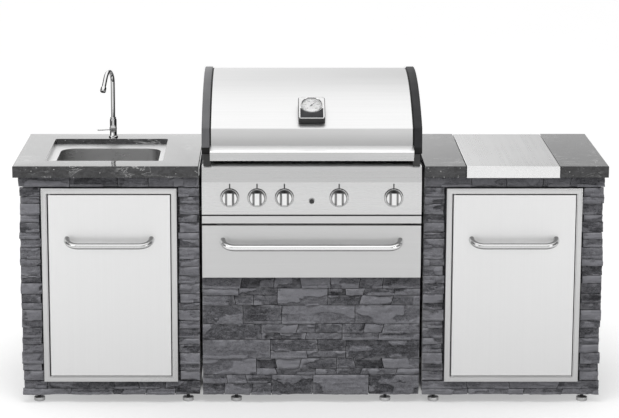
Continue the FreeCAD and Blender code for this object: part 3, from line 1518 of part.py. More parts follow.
skin = new_body("hood_sheet_metal")
outline = [
    (skin_front, "hood_bottom"),
    (crease, "crease_height", "hood_radius", "left"),
    (crest, "crest_height", "hood_corner", "left"),
    (hood_back, "crest_height-hood_corner"),
    (hood_back, "hood_back_bottom"),
    (f"{hood_back}-hood_sheet", "hood_back_bottom"),
    (f"{hood_back}-hood_sheet", "crest_height-hood_corner", "hood_corner-hood_sheet", "right"),
    (crest, "crest_height-hood_sheet", "hood_radius-hood_sheet", "right"),
    (f"{crease}+hood_sheet*1.15", "crease_height-hood_sheet*0.5"),
    (f"{skin_front}+hood_sheet", "hood_bottom"),
]
pad(skin, sketch(skin, "YZ_Plane", outline), f"{skin_half}*2", middle_plane=True)
solid(skin, "hood_skin")

grip = new_body("hood_grip")
grip_top = f"(hood_bottom+{skirt}*grip_share)"
grip_nose = f"(hood_bottom+{skirt}*nose_share)"
grip_outline = [
    (skin_front + "-0.1", "hood_bottom"),
    (f"{skin_front}+({crease}-{skin_front})*grip_share-0.1", grip_top),
    (f"{front}-grip_front+3", f"{grip_nose}+2"),
    (f"{front}-grip_front", f"{grip_nose}-1"),
    (f"{front}-grip_front+2", f"{grip_nose}-4"),
    (f"{front}-7", "hood_bottom"),
]
pad(grip, sketch(grip, "YZ_Plane", grip_outline), f"({skin_half}+grip_end)*2", middle_plane=True)
solid(grip, "hood_handle")




def cap_outline(proud):
    """The cap from the side, standing so far off the skin, notched in front over its rest."""
    return [
        (f"{notch_front}-{proud}", notch_top),
        (f"{crease}-{proud}", f"crease_height+{proud}*0.6", f"hood_radius+{proud}", "left"),
        (crest, f"crest_height+{proud}", f"hood_corner+{proud}", "left"),
        (f"{hood_back}+{proud}", "crest_height-hood_corner"),
        (f"{hood_back}+{proud}", "cap_bottom+14", "14", "left"),
        (f"{hood_back}+{proud}-14", "cap_bottom"),
        (f"{skin_front}+notch_depth", "cap_bottom"),
        (f"{skin_front}+notch_depth", notch_top),
    ]


def end_cap(side, name):
    """A casting that follows the skin's curve: a web outside and a rim beside the skin's edge."""
    body = new_body(name)
    cap_x = (skin_half, f"({skin_half}+cap_step)", f"({skin_half}+cap_width)")
    for span, proud in (((cap_x[0], cap_x[1]), "0"), ((cap_x[1], cap_x[2]), "cap_proud")):
        low, high = beside(side, *span)
        pad(body, sketch(body, "YZ_Plane", cap_outline(proud), at=low), f"({high})-({low})")
    rim = "cap_rim"
    hollow = [
        (f"{skin_front}+{rim}", f"{notch_top}+{rim}*0.5"),
        (f"{crease}+{rim}", f"crease_height-{rim}*0.6", f"hood_radius-{rim}", "left"),
        (crest, f"crest_height-{rim}", f"hood_corner-{rim}", "left"),
        (f"{hood_back}-{rim}", "crest_height-hood_corner"),
        (f"{hood_back}-{rim}", f"cap_bottom+{rim}*0.5"),
        (f"{skin_front}+notch_depth+{rim}", f"cap_bottom+{rim}*0.5"),
        (f"{skin_front}+notch_depth+{rim}", f"{notch_top}+{rim}*0.5"),
    ]
    inside = skin_half if side > 0 else f"-{skin_half}"
    pocket(body, sketch(body, "YZ_Plane", hollow, at=inside), "cap_width-cap_web", reversed=side > 0)
    start = f"{skin_half}+2" if side > 0 else f"-{skin_half}-cap_width+cap_web"
    pin_place = (f"{front}+hood_pin_back", "hood_pin_height")
    boss = sketch(body, "YZ_Plane", circles=[(*pin_place, "cap_boss")], at=start)
    pad(body, boss, "cap_width-cap_web-2")
    pin_hole = sketch(body, "YZ_Plane", circles=[(*pin_place, "hood_pin+running_gap*2")], at=inside)
    pocket(body, pin_hole, "cap_width-cap_web", reversed=side > 0)
    return solid(body, name)


end_cap(-1, "hood_left_cap")
end_cap(1, "hood_right_cap")

# Blocks on the deck under the caps' notches, on which the closed hood lies
rests = [box(beside(side, f"{skin_half}+1", f"{skin_half}+cap_width-rest_inset"),
             (f"{notch_front}+1", f"{skin_front}+notch_depth-1"), ("grill_deck", f"{notch_top}-running_gap"))
         for side in (-1, 1)]
solid(group(*rests), "hood_rests")

hinges = []
hinge_depth = (f"{front}+hood_pin_back-hinge_half", f"{front}+hood_pin_back+hinge_half")
plate_x = (f"({skin_half}-hinge_plate-3)", f"({skin_half}-3)")
for side in (-1, 1):
    bracket = box(beside(side, *plate_x), hinge_depth, ("grill_deck", "hood_pin_height+hinge_half"))
    foot_plate = box(beside(side, plate_x[0], f"{middle}-2"), hinge_depth, ("grill_deck", "grill_deck+3"))
    pin = cylinder("X", plate_x[0] if side > 0 else f"(-{skin_half}-cap_width+cap_web+1)",
                   f"{front}+hood_pin_back", "hood_pin_height", "hood_pin", "hinge_plate+2+cap_width-cap_web")
    hinges.append(join(bracket, foot_plate, pin))
solid(group(*hinges), "hood_hinges")

# The thermometer lies on the skin at a distance up its arc from the crease. Its own frame of
# reference is its plate: x across, y up the slope, z off it.
arc_start = Vector(0, value(crease), value("crease_height"))
arc_end = Vector(0, value(crest), value("crest_height"))
chord = arc_end - arc_start
radius = value("hood_radius")
bulge = math.asin(chord.Length / 2 / radius)
skin_angle = math.atan2(chord.z, chord.y) + bulge - value("gauge_up") / radius
across = Vector(0, -chord.z, chord.y).normalize()
arc_centre = (arc_start + arc_end) / 2 - across * radius * math.cos(bulge)
off_skin = Vector(0, -math.sin(skin_angle), math.cos(skin_angle))
gauge_origin = arc_centre + off_skin * (radius + value("running_gap") + value("gauge_thick"))
gauge_turn = Rotation(Vector(1, 0, 0), math.degrees(skin_angle) + value("gauge_tilt"))


def on_slope(body, height="0", across_plate="0"):
    """Places a body so far up the plate and so far off it."""
    body.Placement.Base = gauge_origin + gauge_turn.multVec(Vector(0, value(across_plate), value(height)))
    body.Placement.Rotation = gauge_turn
    return body


def under_plate(y):
    """Height of the case's underside below the plate, a plane that lies along the skin."""
    return f"(-gauge_thick/cos(gauge_tilt*1deg)-({y})*tan(gauge_tilt*1deg))"


dial_y = "(gauge_length/2-gauge_dial/2-gauge_margin)"
case = new_body("gauge_case")
low, high = "-gauge_length/2", "gauge_length/2"
side_view = [(low, "0"), (high, "0"), (high, under_plate(high)), (low, under_plate(low))]
pad(case, sketch(case, "YZ_Plane", side_view), "gauge_width", middle_plane=True)
soften(case, "gauge_round", lambda edge: abs(abs(edge.CenterOfMass.x) - value("gauge_width/2")) < 0.01 and
       abs(edge.BoundBox.YLength) < 0.01)
soften(case, "2", flat_at("0"))
seat = sketch(case, "XY_Plane", circles=[("0", dial_y, "gauge_dial")])
pocket(case, seat, "gauge_seat")
solid(on_slope(case), "gauge_housing")

dial = new_body("gauge_face")
turned(dial, [("0", "0"), ("gauge_dial/2-0.5", "0"), ("gauge_dial/2-0.5", "1"), ("0", "1")])
needle = new_body("needle")
pad(needle, sketch(needle, "XY_Plane", [("-2", "-12"), ("2", "-12"), ("0.6", "gauge_dial/2-9"),
    ("-0.6", "gauge_dial/2-9")], at="1.6"), "0.8")
hub = new_body("needle_hub")
turned(hub, [("0", "1"), ("4", "1"), ("4", "1.6"), ("0", "1.6")])
glass = new_body("gauge_glass")
turned(glass, [
    ("0", "gauge_seat-1.4"),
    ("gauge_dial/2-0.5", "gauge_seat-1.4"),
    ("gauge_dial/2-0.5", "gauge_seat"),
    ("0", "gauge_seat"),
])
ring = new_body("gauge_ring")
turned(ring, [
    ("gauge_dial/2-3", "0"),
    ("gauge_dial/2+3", "0"),
    ("gauge_dial/2+2", "gauge_ring"),
    ("gauge_dial/2-1", "gauge_ring"),
])
for body in (dial, needle, hub, glass):
    on_slope(body, "-gauge_seat", dial_y)
needle.Placement.Rotation = gauge_turn.multiply(Rotation(Vector(0, 0, 1), -42))
on_slope(ring, "0", dial_y)
solid(group(dial, join(needle, hub)), "gauge_dial")
solid(glass, "gauge_glass")
solid(ring, "gauge_bezel")


# Check every object, then write each sub-part

doc.recompute()
for thing in doc.Objects:
    if "Invalid" in thing.State or "Error" in thing.State:
        raise ValueError(f"{thing.Label} failed: {thing.State}")
os.makedirs("parts", exist_ok=True)
for thing in subparts:
    if thing.Shape.isNull() or not thing.Shape.isValid():
        raise ValueError(f"{thing.Label} has no valid shape")
for thing in subparts:
    thing.Shape.exportStep(f"parts/{thing.Label}.step")
print(f"{len(subparts)} sub-parts written")
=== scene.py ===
import json
import math

import bmesh
import bpy
import numpy as np
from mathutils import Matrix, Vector


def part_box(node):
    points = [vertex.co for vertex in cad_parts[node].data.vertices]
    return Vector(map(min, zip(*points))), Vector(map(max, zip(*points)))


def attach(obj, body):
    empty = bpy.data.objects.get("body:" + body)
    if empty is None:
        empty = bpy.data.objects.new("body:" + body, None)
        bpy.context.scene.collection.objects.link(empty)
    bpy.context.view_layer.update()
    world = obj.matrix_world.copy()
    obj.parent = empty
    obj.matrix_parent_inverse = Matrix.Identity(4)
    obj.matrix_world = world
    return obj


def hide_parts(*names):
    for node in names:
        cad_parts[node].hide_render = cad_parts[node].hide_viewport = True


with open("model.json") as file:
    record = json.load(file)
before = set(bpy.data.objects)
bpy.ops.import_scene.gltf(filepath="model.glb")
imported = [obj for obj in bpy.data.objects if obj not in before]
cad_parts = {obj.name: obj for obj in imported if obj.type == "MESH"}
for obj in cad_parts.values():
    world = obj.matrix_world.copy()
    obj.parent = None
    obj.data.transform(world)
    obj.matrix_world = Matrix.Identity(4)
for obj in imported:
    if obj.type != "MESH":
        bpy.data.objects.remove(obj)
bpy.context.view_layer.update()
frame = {"nodes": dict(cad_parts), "record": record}

# Outdoor kitchen island: the looks of its pieces, in metres. Heights and depths that several
# pieces share are read from the frame.
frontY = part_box("left_countertop")[0].y      # front edge of the worktop
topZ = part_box("left_countertop")[1].z        # top of the worktop
print("frame loaded,", len(frame["nodes"]), "nodes")


# Camera, light and floor

view = {
    "place": (-0.1602, frontY - 8.224, 2.625),
    "pitch": 11.08,                  # degrees below the horizon
    "focalPixels": 2225.5,
    "imageWidth": 619,
    "shiftPixels": (40.1, -62.0),    # how far the frame lies off the line of sight
    "sensor": 36.0,
    "reach": 100,
}

camera = bpy.data.objects.new("camera", bpy.data.cameras.new("camera"))
bpy.context.scene.collection.objects.link(camera)
camera.location = view["place"]
camera.rotation_euler = (math.radians(90 - view["pitch"]), 0, 0)
camera.data.sensor_width = view["sensor"]
camera.data.lens = view["focalPixels"] / view["imageWidth"] * view["sensor"]
camera.data.shift_x = view["shiftPixels"][0] / view["imageWidth"]
camera.data.shift_y = view["shiftPixels"][1] / view["imageWidth"]
camera.data.clip_end = view["reach"]
bpy.context.scene.camera = camera

lamps = {
    # name: (place, target, width, height, power)
    "ceiling": ((-0.5, -2.3, 4.0), (0, -0.1, 0.5), 3.4, 1.6, 98),
    "leftWindow": ((-4.6, -3.6, 2.8), (-0.2, 0, 0.7), 2.8, 2.4, 50),
    "rightFill": ((4.8, -4.2, 2.2), (0.3, 0, 0.6), 2.4, 2.4, 40),
}

for name, (place, target, width, height, power) in lamps.items():
    lamp = bpy.data.lights.new(name, "AREA")
    lamp.shape = "RECTANGLE"
    lamp.size = width
    lamp.size_y = height
    lamp.energy = power
    holder = bpy.data.objects.new(name, lamp)
    bpy.context.scene.collection.objects.link(holder)
    holder.location = place
    holder.rotation_euler = (Vector(target) - Vector(place)).to_track_quat("-Z", "Y").to_euler()
    holder.visible_glossy = name != "ceiling"     # in the gloss the world's own ceiling stands for it


# Node helpers

def fill(tree, socket, value):
    # a socket gets a link from another socket, or a plain value
    if isinstance(value, bpy.types.NodeSocket):
        tree.links.new(value, socket)
    else:
        socket.default_value = value


def newNode(tree, kind, inputs=None, **settings):
    # a shader node with its settings, and its inputs filled by name or number
    node = tree.nodes.new("ShaderNode" + kind)
    for key, value in settings.items():
        setattr(node, key, value)
    for key, value in (inputs or {}).items():
        fill(tree, node.inputs[key], value)
    return node


def math2(tree, operation, first, second=0.0, clamp=False):
    # one operation on two numbers
    return newNode(tree, "Math", {0: first, 1: second}, operation=operation, use_clamp=clamp).outputs[0]


def times(tree, first, second):
    return math2(tree, "MULTIPLY", first, second)


def plus(tree, first, second):
    return math2(tree, "ADD", first, second)


def unsigned(tree, value):
    # a number without its sign
    return math2(tree, "ABSOLUTE", value)


def oneMinus(tree, share):
    # what a share leaves of one
    return math2(tree, "SUBTRACT", 1.0, share)


def separate(tree, vector):
    # a vector's or colour's three numbers
    return newNode(tree, "SeparateXYZ", {0: vector}).outputs


def blendColors(tree, mask, low, high):
    # a colour between two others, by a mask from 0 to 1
    node = newNode(tree, "Mix", data_type="RGBA")
    for index, value in ((0, mask), (6, low), (7, high)):
        fill(tree, node.inputs[index], value)
    return node.outputs[2]


def remap(tree, value, low, high, toLow=0.0, toHigh=1.0, smooth=True):
    # a value's way from low to high becomes the way from toLow to toHigh, eased at its ends if smooth
    kind = "SMOOTHSTEP" if smooth else "LINEAR"
    return newNode(tree, "MapRange", {0: value, 1: low, 2: high, 3: toLow, 4: toHigh},
                   interpolation_type=kind).outputs[0]


def grey(level, blue=0.0):
    # a grey whose blue is stronger by a share
    return (level, level, level * (1 + blue), 1)


def newGroup(name, inputs, outputs):
    # a shader node group with named sockets; returns the tree, its inputs and its output sockets
    tree = bpy.data.node_groups.new(name, "ShaderNodeTree")
    for label, (kind, default) in inputs.items():
        socket = tree.interface.new_socket(label, in_out="INPUT", socket_type="NodeSocket" + kind)
        socket.default_value = default
    for label, kind in outputs.items():
        tree.interface.new_socket(label, in_out="OUTPUT", socket_type="NodeSocket" + kind)
    entry = tree.nodes.new("NodeGroupInput")
    leave = tree.nodes.new("NodeGroupOutput")
    return tree, entry.outputs, leave.inputs


def placeGroup(tree, group, **inputs):
    # a group put into a material with its own values
    node = tree.nodes.new("ShaderNodeGroup")
    node.node_tree = group
    for key, value in inputs.items():
        fill(tree, node.inputs[key], value)
    return node.outputs


def newMaterial(name, **sockets):
    # a material with constants on its shader; returns it, its tree and the shader's input sockets
    material = bpy.data.materials.new(name)
    material.use_nodes = True
    tree = material.node_tree
    shader = next(node for node in tree.nodes if node.type == "BSDF_PRINCIPLED")
    for key, value in sockets.items():
        shader.inputs[key.replace("_", " ")].default_value = value
    return material, tree, shader.inputs


def bumpInto(tree, surface, height, strength, distance):
    # relief of a height from 0 to 1, which stands for a distance in metres
    bump = newNode(tree, "Bump", {"Height": height, "Strength": strength, "Distance": distance})
    tree.links.new(bump.outputs[0], surface["Normal"])


# World: white to the eye, and in the gloss a studio with a bright ceiling, a white backdrop that
# fades to the right, and dark sides

sky = {
    "ambient": 0.42,                 # what lights the matt surfaces
    "backdrop": 1.06,                # gloss behind the island, low down
    "ceiling": 1.43,
    "front": 0.87,                   # gloss on the camera's side, low down
    "side": 0.16,
    "fadeFrom": (-0.05, 1.10),       # direction's x and level, from the left end of the backdrop
    "fadeTo": (0.14, 0.62),          # to its right end
    "turnOver": 0.15,                # front turns to backdrop while the direction's y goes from -this to this
    "ceilingFrom": 0.55,             # sines of the heights between which the backdrop turns to ceiling
    "ceilingTo": 0.86,
    "sideFrom": 0.24,                # sines of the turns between which the sides go dark
    "sideTo": 0.72,
}

world = bpy.data.worlds.new("studio")
bpy.context.scene.world = world
world.use_nodes = True
tree = world.node_tree
tree.nodes.clear()
across, back, up = separate(tree, newNode(tree, "TexCoord").outputs["Generated"])
(leftEnd, leftLevel), (rightEnd, rightLevel) = sky["fadeFrom"], sky["fadeTo"]
fade = remap(tree, across, leftEnd, rightEnd, leftLevel, rightLevel)
behind = remap(tree, back, -sky["turnOver"], sky["turnOver"])
backdrop = times(tree, times(tree, fade, sky["backdrop"]), behind)
low = plus(tree, backdrop, times(tree, oneMinus(tree, behind), sky["front"]))
beside = remap(tree, unsigned(tree, across), sky["sideFrom"], sky["sideTo"])
low = plus(tree, times(tree, low, oneMinus(tree, beside)), times(tree, beside, sky["side"]))
high = remap(tree, up, sky["ceilingFrom"], sky["ceilingTo"])
glossLevel = plus(tree, times(tree, low, oneMinus(tree, high)), times(tree, high, sky["ceiling"]))
seen, gloss, ambient = [newNode(tree, "Background", {"Color": grey(1), "Strength": strength}).outputs[0]
                        for strength in (1.0, glossLevel, sky["ambient"])]
rays = newNode(tree, "LightPath").outputs
shiny = math2(tree, "MAXIMUM", rays["Is Glossy Ray"], rays["Is Transmission Ray"])
unseen = newNode(tree, "MixShader", {0: shiny, 1: ambient, 2: gloss}).outputs[0]
shown = newNode(tree, "MixShader", {0: rays["Is Camera Ray"], 1: unseen, 2: seen}).outputs[0]
newNode(tree, "OutputWorld", {0: shown})

ground = {
    "half": 14.0,
    "color": 0.56,
    "cloud": (1.3, 0.01),            # scale and strength of the paper's soft clouds
    # painted reflection: glossColor and glossLift are the floor as the gloss sees it, apart from the floor
    # the eye sees
    "glossColor": 0.50,
    "eyeLift": (0.38, 0.72),         # white added for the eye, near the island and far from it
    "glossLift": (0.35, 0.76),       # the same in the gloss, a painted reflection: darker near the island
    "eyeReach": (0.70, 1.75),
    "glossReach": (0.9, 3.6),
    "under": (1.10, 0.30),           # half of the ground that the island covers, where no white is added
    "fadeUnder": (-0.30, -0.16),
}

floorMaterial, tree, surface = newMaterial("floorPaper", Roughness=0.75, Specular_IOR_Level=0.2,
                                           Emission_Color=grey(1))
place = newNode(tree, "TexCoord").outputs["Object"]
cloudScale, cloud = ground["cloud"]
clouds = newNode(tree, "TexNoise", {"Vector": place, "Scale": cloudScale, "Detail": 2.0}).outputs[0]
rays = newNode(tree, "LightPath").outputs
paper = blendColors(tree, clouds, grey(ground["color"] - cloud), grey(ground["color"] + cloud))
# painted reflection: in the gloss the paper has its own grey
fill(tree, surface["Base Color"], blendColors(tree, rays["Is Glossy Ray"], paper, grey(ground["glossColor"])))
away = newNode(tree, "VectorMath", {0: place}, operation="LENGTH").outputs["Value"]
eyeLift = remap(tree, away, *ground["eyeReach"], *ground["eyeLift"])
glossLift = remap(tree, away, *ground["glossReach"], *ground["glossLift"])
outside = [math2(tree, "SUBTRACT", unsigned(tree, part), half)
           for part, half in zip(separate(tree, place), ground["under"])]
outside = remap(tree, math2(tree, "MAXIMUM", *outside), *ground["fadeUnder"])
lift = plus(tree, times(tree, rays["Is Camera Ray"], eyeLift), times(tree, rays["Is Glossy Ray"], glossLift))
fill(tree, surface["Emission Strength"], times(tree, lift, outside))
floorMesh = bpy.data.meshes.new("floor")
half = ground["half"]
floorMesh.from_pydata([(-half, -half, 0), (half, -half, 0), (half, half, 0), (-half, half, 0)], [],
                      [(0, 1, 2, 3)])
floorMesh.materials.append(floorMaterial)
floor = bpy.data.objects.new("floor", floorMesh)
bpy.context.scene.collection.objects.link(floor)
print("camera, light and floor placed")


# Shared effects, one node group each

def objectNoise(tree, stretch, scale, detail, rough=0.5, distortion=0.0):
    # noise on the piece's own coordinates, stretched along its axes first
    coords = newNode(tree, "TexCoord").outputs["Object"]
    mapped = newNode(tree, "Mapping", {"Vector": coords, "Scale": stretch}).outputs[0]
    return newNode(tree, "TexNoise", {"Vector": mapped, "Scale": scale, "Detail": detail,
                                      "Roughness": rough, "Distortion": distortion}).outputs[0]


def worldNormal(tree):
    # the direction in which the surface looks
    return newNode(tree, "NewGeometry").outputs["Normal"]


even = (1, 1, 1)

# brushed lines: fine streaks along one axis and broad soft clouds
brushLines, enter, leave = newGroup(
    "brushLines", {"Stretch": ("Vector", even)}, {"Streak": "Float", "Cloud": "Float"})
streak = objectNoise(brushLines, enter["Stretch"], 1.0, 4.0, 0.7)
cloud = objectNoise(brushLines, even, 2.4, 2.0)
fill(brushLines, leave["Streak"], remap(brushLines, streak, 0.3, 0.7))
fill(brushLines, leave["Cloud"], remap(brushLines, cloud, 0.3, 0.7))

# fine grain: the skin of powder coat, castings, rubber and moulded plastic
fineGrain, enter, leave = newGroup(
    "fineGrain", {"Size": ("Float", 900.0)}, {"Grain": "Float", "Patch": "Float"})
patch = objectNoise(fineGrain, even, 14.0, 3.0)
fill(fineGrain, leave["Grain"], objectNoise(fineGrain, even, enter["Size"], 3.0, 0.6))
fill(fineGrain, leave["Patch"], remap(fineGrain, patch, 0.35, 0.65))

# settled dust: what gathers on faces that look up
settledDust, enter, leave = newGroup(
    "settledDust", {"Amount": ("Float", 0.3)}, {"Dust": "Float"})
facingUp = remap(settledDust, separate(settledDust, worldNormal(settledDust))[2], 0.55, 1.0)
dustNoise = remap(settledDust, objectNoise(settledDust, even, 60.0, 4.0), 0.4, 0.75)
fill(settledDust, leave["Dust"], times(settledDust, times(settledDust, facingUp, dustNoise), enter["Amount"]))

# facings: where a surface looks up, where it looks to the sides, and where it looks up or down
# along a line that leans 13 degrees to the back from upright, but not to the back itself; by these masks
# finishes paint light and shade
leaningLine = (0, 0.225, 0.974)
facingMasks, enter, leave = newGroup(
    "facingMasks", {"Start": ("Float", 0.3)}, {"Up": "Float", "Aside": "Float", "Steep": "Float"})
across, back, up = separate(facingMasks, worldNormal(facingMasks))
lean = newNode(facingMasks, "VectorMath", {0: worldNormal(facingMasks), 1: leaningLine},
               operation="DOT_PRODUCT").outputs["Value"]
stop = plus(facingMasks, enter["Start"], 0.3)
steep = remap(facingMasks, unsigned(facingMasks, lean), enter["Start"], stop)
fill(facingMasks, leave["Up"], remap(facingMasks, up, enter["Start"], stop))
fill(facingMasks, leave["Aside"], remap(facingMasks, unsigned(facingMasks, across), enter["Start"], stop))
fill(facingMasks, leave["Steep"], times(facingMasks, steep, remap(facingMasks, back, 0.30, 0.0)))

# polished stone: a mottled ground with pale veins and flecks
graniteLook = {
    # stretch, scale, detail, roughness and distortion of each noise
    "mottle": ((1.0, 1.6, 1.6), 30.0, 9.0, 0.78, 0.9),
    "veins": ((0.8, 1.5, 2.4), 5.5, 7.0, 0.62, 1.4),
    "breaks": (even, 9.0, 3.0),      # where the veins stop
    "veinWidth": 0.016,
    "cells": 150.0,                  # scale of the flecks
    "chosen": (0.955, 0.975),        # only cells above this have one
}
tree, enter, leave = newGroup(
    "granitePattern",
    {"Dark": ("Color", grey(0.03)), "Mid": ("Color", grey(0.07)), "Pale": ("Color", grey(0.5)),
     "Flecks": ("Float", 0.5), "Veins": ("Float", 0.5)},
    {"Color": "Color", "Mask": "Float"})
granitePattern = tree
mottle = remap(tree, objectNoise(tree, *graniteLook["mottle"]), 0.40, 0.62)
veinBand = unsigned(tree, math2(tree, "SUBTRACT", objectNoise(tree, *graniteLook["veins"]), 0.5))
veinLine = remap(tree, veinBand, graniteLook["veinWidth"], 0.0)
veinBreak = remap(tree, objectNoise(tree, *graniteLook["breaks"]), 0.44, 0.62)
veinMask = times(tree, times(tree, veinLine, veinBreak), enter["Veins"])
coords = newNode(tree, "TexCoord").outputs["Object"]
cells = newNode(tree, "TexVoronoi", {"Vector": coords, "Scale": graniteLook["cells"]}).outputs
chosen = remap(tree, separate(tree, cells["Color"])[0], *graniteLook["chosen"])
fleckMask = times(tree, times(tree, remap(tree, cells["Distance"], 0.45, 0.2), chosen), enter["Flecks"])
paleMask = math2(tree, "MAXIMUM", fleckMask, veinMask, clamp=True)
darker = blendColors(tree, mottle, enter["Dark"], enter["Mid"])
fill(tree, leave["Color"], blendColors(tree, paleMask, darker, enter["Pale"]))
fill(tree, leave["Mask"], paleMask)

# split stone: a tone for each stone, which carries painted highlight and shade, cloudy patches, lighter
# layers along it, mineral streaks, and pale knocked edges that are partly a painted highlight
stoneLook = {
    "patches": ((1.0, 1.0, 1.5), 58.0, 9.0, 0.74, 0.8),
    "layers": ((5.0, 5.0, 46.0), 3.0, 5.0, 0.65, 0.3),
    "grain": (even, 240.0, 5.0, 0.75),
    "chalk": ((3.0, 3.0, 9.0), 9.0, 6.0, 0.7, 1.2),
    "shares": (0.95, 0.55, 0.25, 0.95),      # of the patches, the stone's tone, the layers and the grain
    "span": (0.98, 1.66),                    # their sum from the darkest stone to the lightest
}
tree, enter, leave = newGroup(
    "splitStone",
    {"Tone": ("Float", 0.5), "Edge": ("Float", 0.0), "Dark": ("Color", grey(0.05)),
     "Light": ("Color", grey(0.2)), "Chalk": ("Color", grey(0.4))},
    {"Color": "Color", "Roughness": "Float", "Height": "Float"})
splitStone = tree
patches, layers, grain, chalk = [objectNoise(tree, *stoneLook[key])
                                 for key in ("patches", "layers", "grain", "chalk")]
level = 0.0
for part, share in zip((patches, enter["Tone"], layers, grain), stoneLook["shares"]):
    level = plus(tree, level, times(tree, part, share))
darker = blendColors(tree, remap(tree, level, *stoneLook["span"]), enter["Dark"], enter["Light"])
# the chalk streaks are the stone's own; the Edge mask adds pale knocked edges, partly a painted highlight
chalkAndEdgeHighlightMask = math2(tree, "MAXIMUM", times(tree, remap(tree, chalk, 0.56, 0.70), 0.50),
                  times(tree, enter["Edge"], 0.5), clamp=True)
fill(tree, leave["Color"], blendColors(tree, chalkAndEdgeHighlightMask, darker, enter["Chalk"]))
fill(tree, leave["Roughness"], remap(tree, grain, 0.2, 0.8, 0.72, 0.92))
fill(tree, leave["Height"], plus(tree, times(tree, layers, 0.6), times(tree, grain, 0.4)))


# Finishes of this island's pieces

def brushedFinish(name, stretch, shade, rough, contrast=0.05, facing=None, low=None):
    # facing: (mask, start, shade, roughness) of the parts that a mask of facingMasks picks out, painted as
    # highlight or shade;
    # low: (height, height, shade) of a lower part, painted shade that darkens it towards the bottom
    material, tree, surface = newMaterial(name, Metallic=1.0)
    lines = placeGroup(tree, brushLines, Stretch=stretch)
    mixed = plus(tree, times(tree, lines["Streak"], 0.6), times(tree, lines["Cloud"], 0.4))
    color = blendColors(tree, mixed, grey(shade - contrast), grey(shade + contrast))
    gloss = remap(tree, mixed, 0, 1, rough - 0.05, rough + 0.06, False)
    if facing:
        label, start, facingShade, facingRough = facing
        mask = placeGroup(tree, facingMasks, Start=start)[label]
        color = blendColors(tree, mask, color, grey(facingShade))
        gloss = plus(tree, gloss, times(tree, mask, facingRough - rough))
    if low:
        height = separate(tree, newNode(tree, "TexCoord").outputs["Object"])[2]
        color = blendColors(tree, remap(tree, height, low[0], low[1]), grey(low[2]), color)
    fill(tree, surface["Base Color"], color)
    fill(tree, surface["Roughness"], gloss)
    bumpInto(tree, surface, lines["Streak"], 0.25, 0.00001)
    return material


def chromeFinish(name, shade, rough, aside=None, up=None, start=0.30):
    # aside and up: painted shade on the parts that look to the sides and up, a painted reflection of the
    # room, which is darker there
    material, tree, surface = newMaterial(name, Metallic=1.0)
    grain = placeGroup(tree, fineGrain, Size=220.0)
    color = blendColors(tree, grain["Patch"], grey(shade - 0.03), grey(shade + 0.02))
    masks = placeGroup(tree, facingMasks, Start=start)
    for mask, level in (("Aside", aside), ("Up", up)):
        if level:
            color = blendColors(tree, masks[mask], color, grey(level))
    fill(tree, surface["Base Color"], color)
    fill(tree, surface["Roughness"], remap(tree, grain["Patch"], 0, 1, rough, rough + 0.05))
    return material


def coatedFinish(name, low, high, rough, grainSize, relief, metallic=0.0, dust=0.0, specular=0.5, blue=0.0):
    # paint, powder coat, castings, plastic and rubber: a fine grain, soft patches and a little dust;
    # low and high: greys, or colours, of the patches
    material, tree, surface = newMaterial(name, Metallic=metallic, Specular_IOR_Level=specular)
    grain = placeGroup(tree, fineGrain, Size=grainSize)
    low, high = [grey(level, blue) if isinstance(level, float) else level for level in (low, high)]
    color = blendColors(tree, grain["Patch"], low, high)
    if dust:
        settled = placeGroup(tree, settledDust, Amount=dust)
        color = blendColors(tree, settled["Dust"], color, grey(0.4))
    fill(tree, surface["Base Color"], color)
    fill(tree, surface["Roughness"], remap(tree, grain["Grain"], 0.2, 0.8, rough - 0.06, rough + 0.06))
    bumpInto(tree, surface, grain["Grain"], 0.5, relief)
    return material


def stoneFinish():
    # the ledge stones, with the tone and the pale edges that their meshes carry, in which painted highlight
    # and shade mix with the stones' own colour
    material, tree, surface = newMaterial("splitStone", Specular_IOR_Level=0.35)
    tone, edge = [newNode(tree, "Attribute", attribute_name=label).outputs["Fac"]
                  for label in ("tone", "edge")]
    looks = placeGroup(tree, splitStone, Tone=tone, Edge=edge, Dark=grey(0.022, 0.14),
                       Light=grey(0.200, 0.09), Chalk=grey(0.34, 0.06))
    fill(tree, surface["Base Color"], looks["Color"])
    fill(tree, surface["Roughness"], looks["Roughness"])
    bumpInto(tree, surface, looks["Height"], 0.8, 0.0030)
    return material


def graniteFinish():
    # the worktops, polished, so that a clear coat makes the gloss
    material, tree, surface = newMaterial("polishedGranite", Specular_IOR_Level=0.1, Coat_Weight=1.0,
                                          Coat_Roughness=0.06)
    looks = placeGroup(tree, granitePattern, Dark=grey(0.008, 0.10), Mid=grey(0.044, 0.06), Pale=grey(0.42),
                       Flecks=0.9, Veins=0.85)
    fill(tree, surface["Base Color"], looks["Color"])
    fill(tree, surface["Roughness"], remap(tree, looks["Mask"], 0, 1, 0.10, 0.22))
    return material


def glassFinish():
    # the dial's clear pane
    material, tree, surface = newMaterial("dialGlass", Roughness=0.02, IOR=1.45, Transmission_Weight=1.0)
    grain = placeGroup(tree, fineGrain, Size=60.0)
    fill(tree, surface["Base Color"], blendColors(tree, grain["Patch"], grey(0.97), grey(1.0)))
    return material


